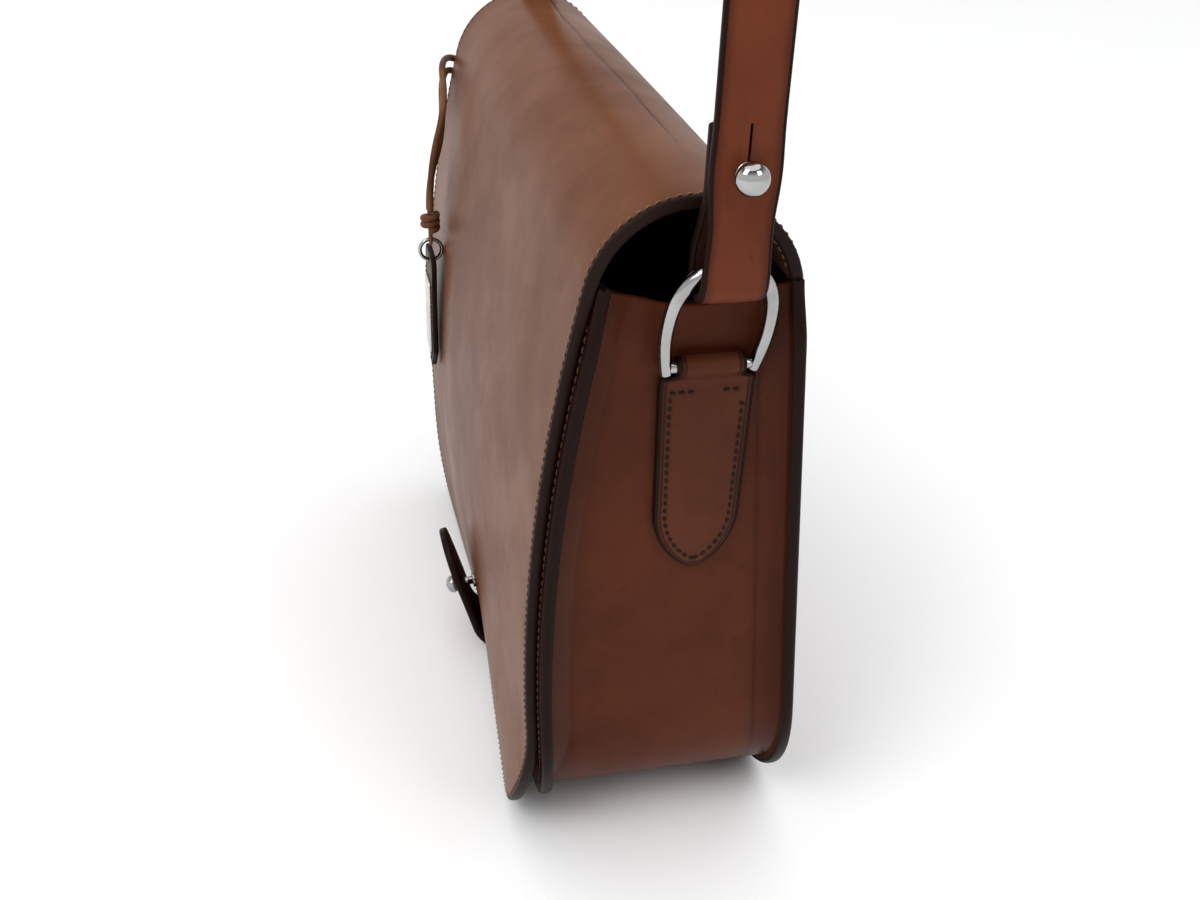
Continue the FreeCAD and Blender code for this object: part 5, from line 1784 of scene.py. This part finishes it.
@dataclass(frozen=True)
class Studio:
    """Pale floor, soft light and the camera of the photograph."""

    position: Place = (494.2, -121.6, 382.5)
    yaw: float = np.radians(13.924)
    pitch: float = np.radians(29.969)
    roll: float = np.radians(2.351)
    focal_px: float = 1352.5
    image_width: float = 1200.0
    sensor: float = 36.0
    nearest: float = 0.01
    floor_reach: float = 6.0
    floor_height: float = -0.0002
    floor_tones: tuple[Colour, Colour] = ((0.93, 0.93, 0.925), (0.95, 0.95, 0.945))
    soft_up: Ramp = (-0.2, 0.8, 0.12, 0.62)
    soft_across: Ramp = (-0.2, 0.8, 1.0, 0.16)
    seen_up: Ramp = (0.25, 0.75, 0.93, 0.12)
    cool: Colour = (0.97, 0.98, 1.0)
    white: Colour = (1.0, 1.0, 1.0)
    daylight_angle: float = np.radians(80.0)
    daylight_power: float = 1.75
    key: Lamp = Lamp("key", (0.9, -1.4, 1.7), (0.0, 0.0, 0.15), 1.2, 20.0)
    side: Lamp = Lamp("side", (1.4, 0.9, 1.2), (0.1, 0.0, 0.15), 0.7, 5.0)

    def _axes(self) -> tuple[Array, Array, Array]:
        """Right, up and forward of the camera."""
        forward = np.array([-np.cos(self.yaw) * np.cos(self.pitch), np.sin(self.yaw) * np.cos(self.pitch),
                            -np.sin(self.pitch)])
        right = unit(np.cross(forward, [0.0, 0.0, 1.0]))
        up = np.cross(right, forward)
        turned = np.cos(self.roll) * right + np.sin(self.roll) * up
        return turned, -np.sin(self.roll) * right + np.cos(self.roll) * up, forward

    def camera(self) -> None:
        """Camera at the photograph's place and angle."""
        lens = bpy.data.cameras.new("camera")
        lens.sensor_width = self.sensor
        lens.lens = self.focal_px / self.image_width * self.sensor
        lens.clip_start = self.nearest
        right, up, forward = self._axes()
        camera = linked("camera", lens)
        stand(camera, right, up, -forward, np.array(self.position) * MM)
        bpy.context.scene.camera = camera

    def floor(self) -> None:
        """Wide pale floor that shows white and keeps the shadow."""
        mesh = bpy.data.meshes.new("floor")
        reach, height = self.floor_reach, self.floor_height
        ways = ((-1, -1), (1, -1), (1, 1), (-1, 1))
        mesh.from_pydata([(x * reach, y * reach, height) for x, y in ways], [], [(0, 1, 2, 3)])
        floor = linked("floor", mesh)
        material, sketch, shader = new_material("pale_floor")
        tone = sketch.mix(sketch.noise(sketch.place(), 3.0, 2.0), *self.floor_tones)
        sketch.fill(shader, Base_Color=tone, Roughness=0.9, Specular_IOR_Level=0.1)
        mesh.materials.append(material)

    def daylight(self) -> None:
        """Wide soft light from straight above, even over the whole floor."""
        light = bpy.data.lights.new("above", "SUN")
        light.angle = self.daylight_angle
        light.energy = self.daylight_power
        linked("above", light)

    def world(self) -> None:
        """Pale surround with a darker ceiling for the camera and in metal, softer as light on the bag."""
        world = bpy.data.worlds.new("surround")
        bpy.context.scene.world = world
        world.use_nodes = True
        sketch = Sketch(world.node_tree)
        split = sketch.node("ShaderNodeSeparateXYZ")
        sketch.put(sketch.node("ShaderNodeTexCoord").outputs["Generated"], split.inputs[0])
        x, z = split.outputs["X"], split.outputs["Z"]
        soft = sketch.maths("MULTIPLY", sketch.span(z, *self.soft_up), sketch.span(x, *self.soft_across))
        path = sketch.node("ShaderNodeLightPath")
        seen = sketch.maths("MAXIMUM", path.outputs["Is Camera Ray"], path.outputs["Is Glossy Ray"])
        seen = sketch.maths("MAXIMUM", seen, path.outputs["Is Transmission Ray"])
        pale = sketch.span(z, *self.seen_up)
        gain = sketch.maths("MULTIPLY", seen, sketch.maths("SUBTRACT", pale, soft))
        sketch.fill(world.node_tree.nodes["Background"], Strength=sketch.maths("ADD", soft, gain),
                    Color=sketch.mix(seen, self.cool, self.white))

    def build(self) -> None:
        """Set the stage."""
        self.floor()
        self.world()
        self.key.build()
        self.daylight()
        self.side.build()
        self.camera()
        bpy.context.scene.view_settings.view_transform = "Standard"


def main() -> None:
    """Build the stage and the bag, piece by piece."""
    logging.basicConfig(level=logging.INFO, format="%(message)s")
    Studio().build()
    finishes = Finishes()
    shape = BagShape()
    Shell(shape).build(finishes)
    flap = Flap(shape)
    flap.build(finishes)
    Carry().build(finishes)
    ClosingTab().build(finishes, flap)
    HangTag().build(finishes)


if __name__ == "__main__":
    main()
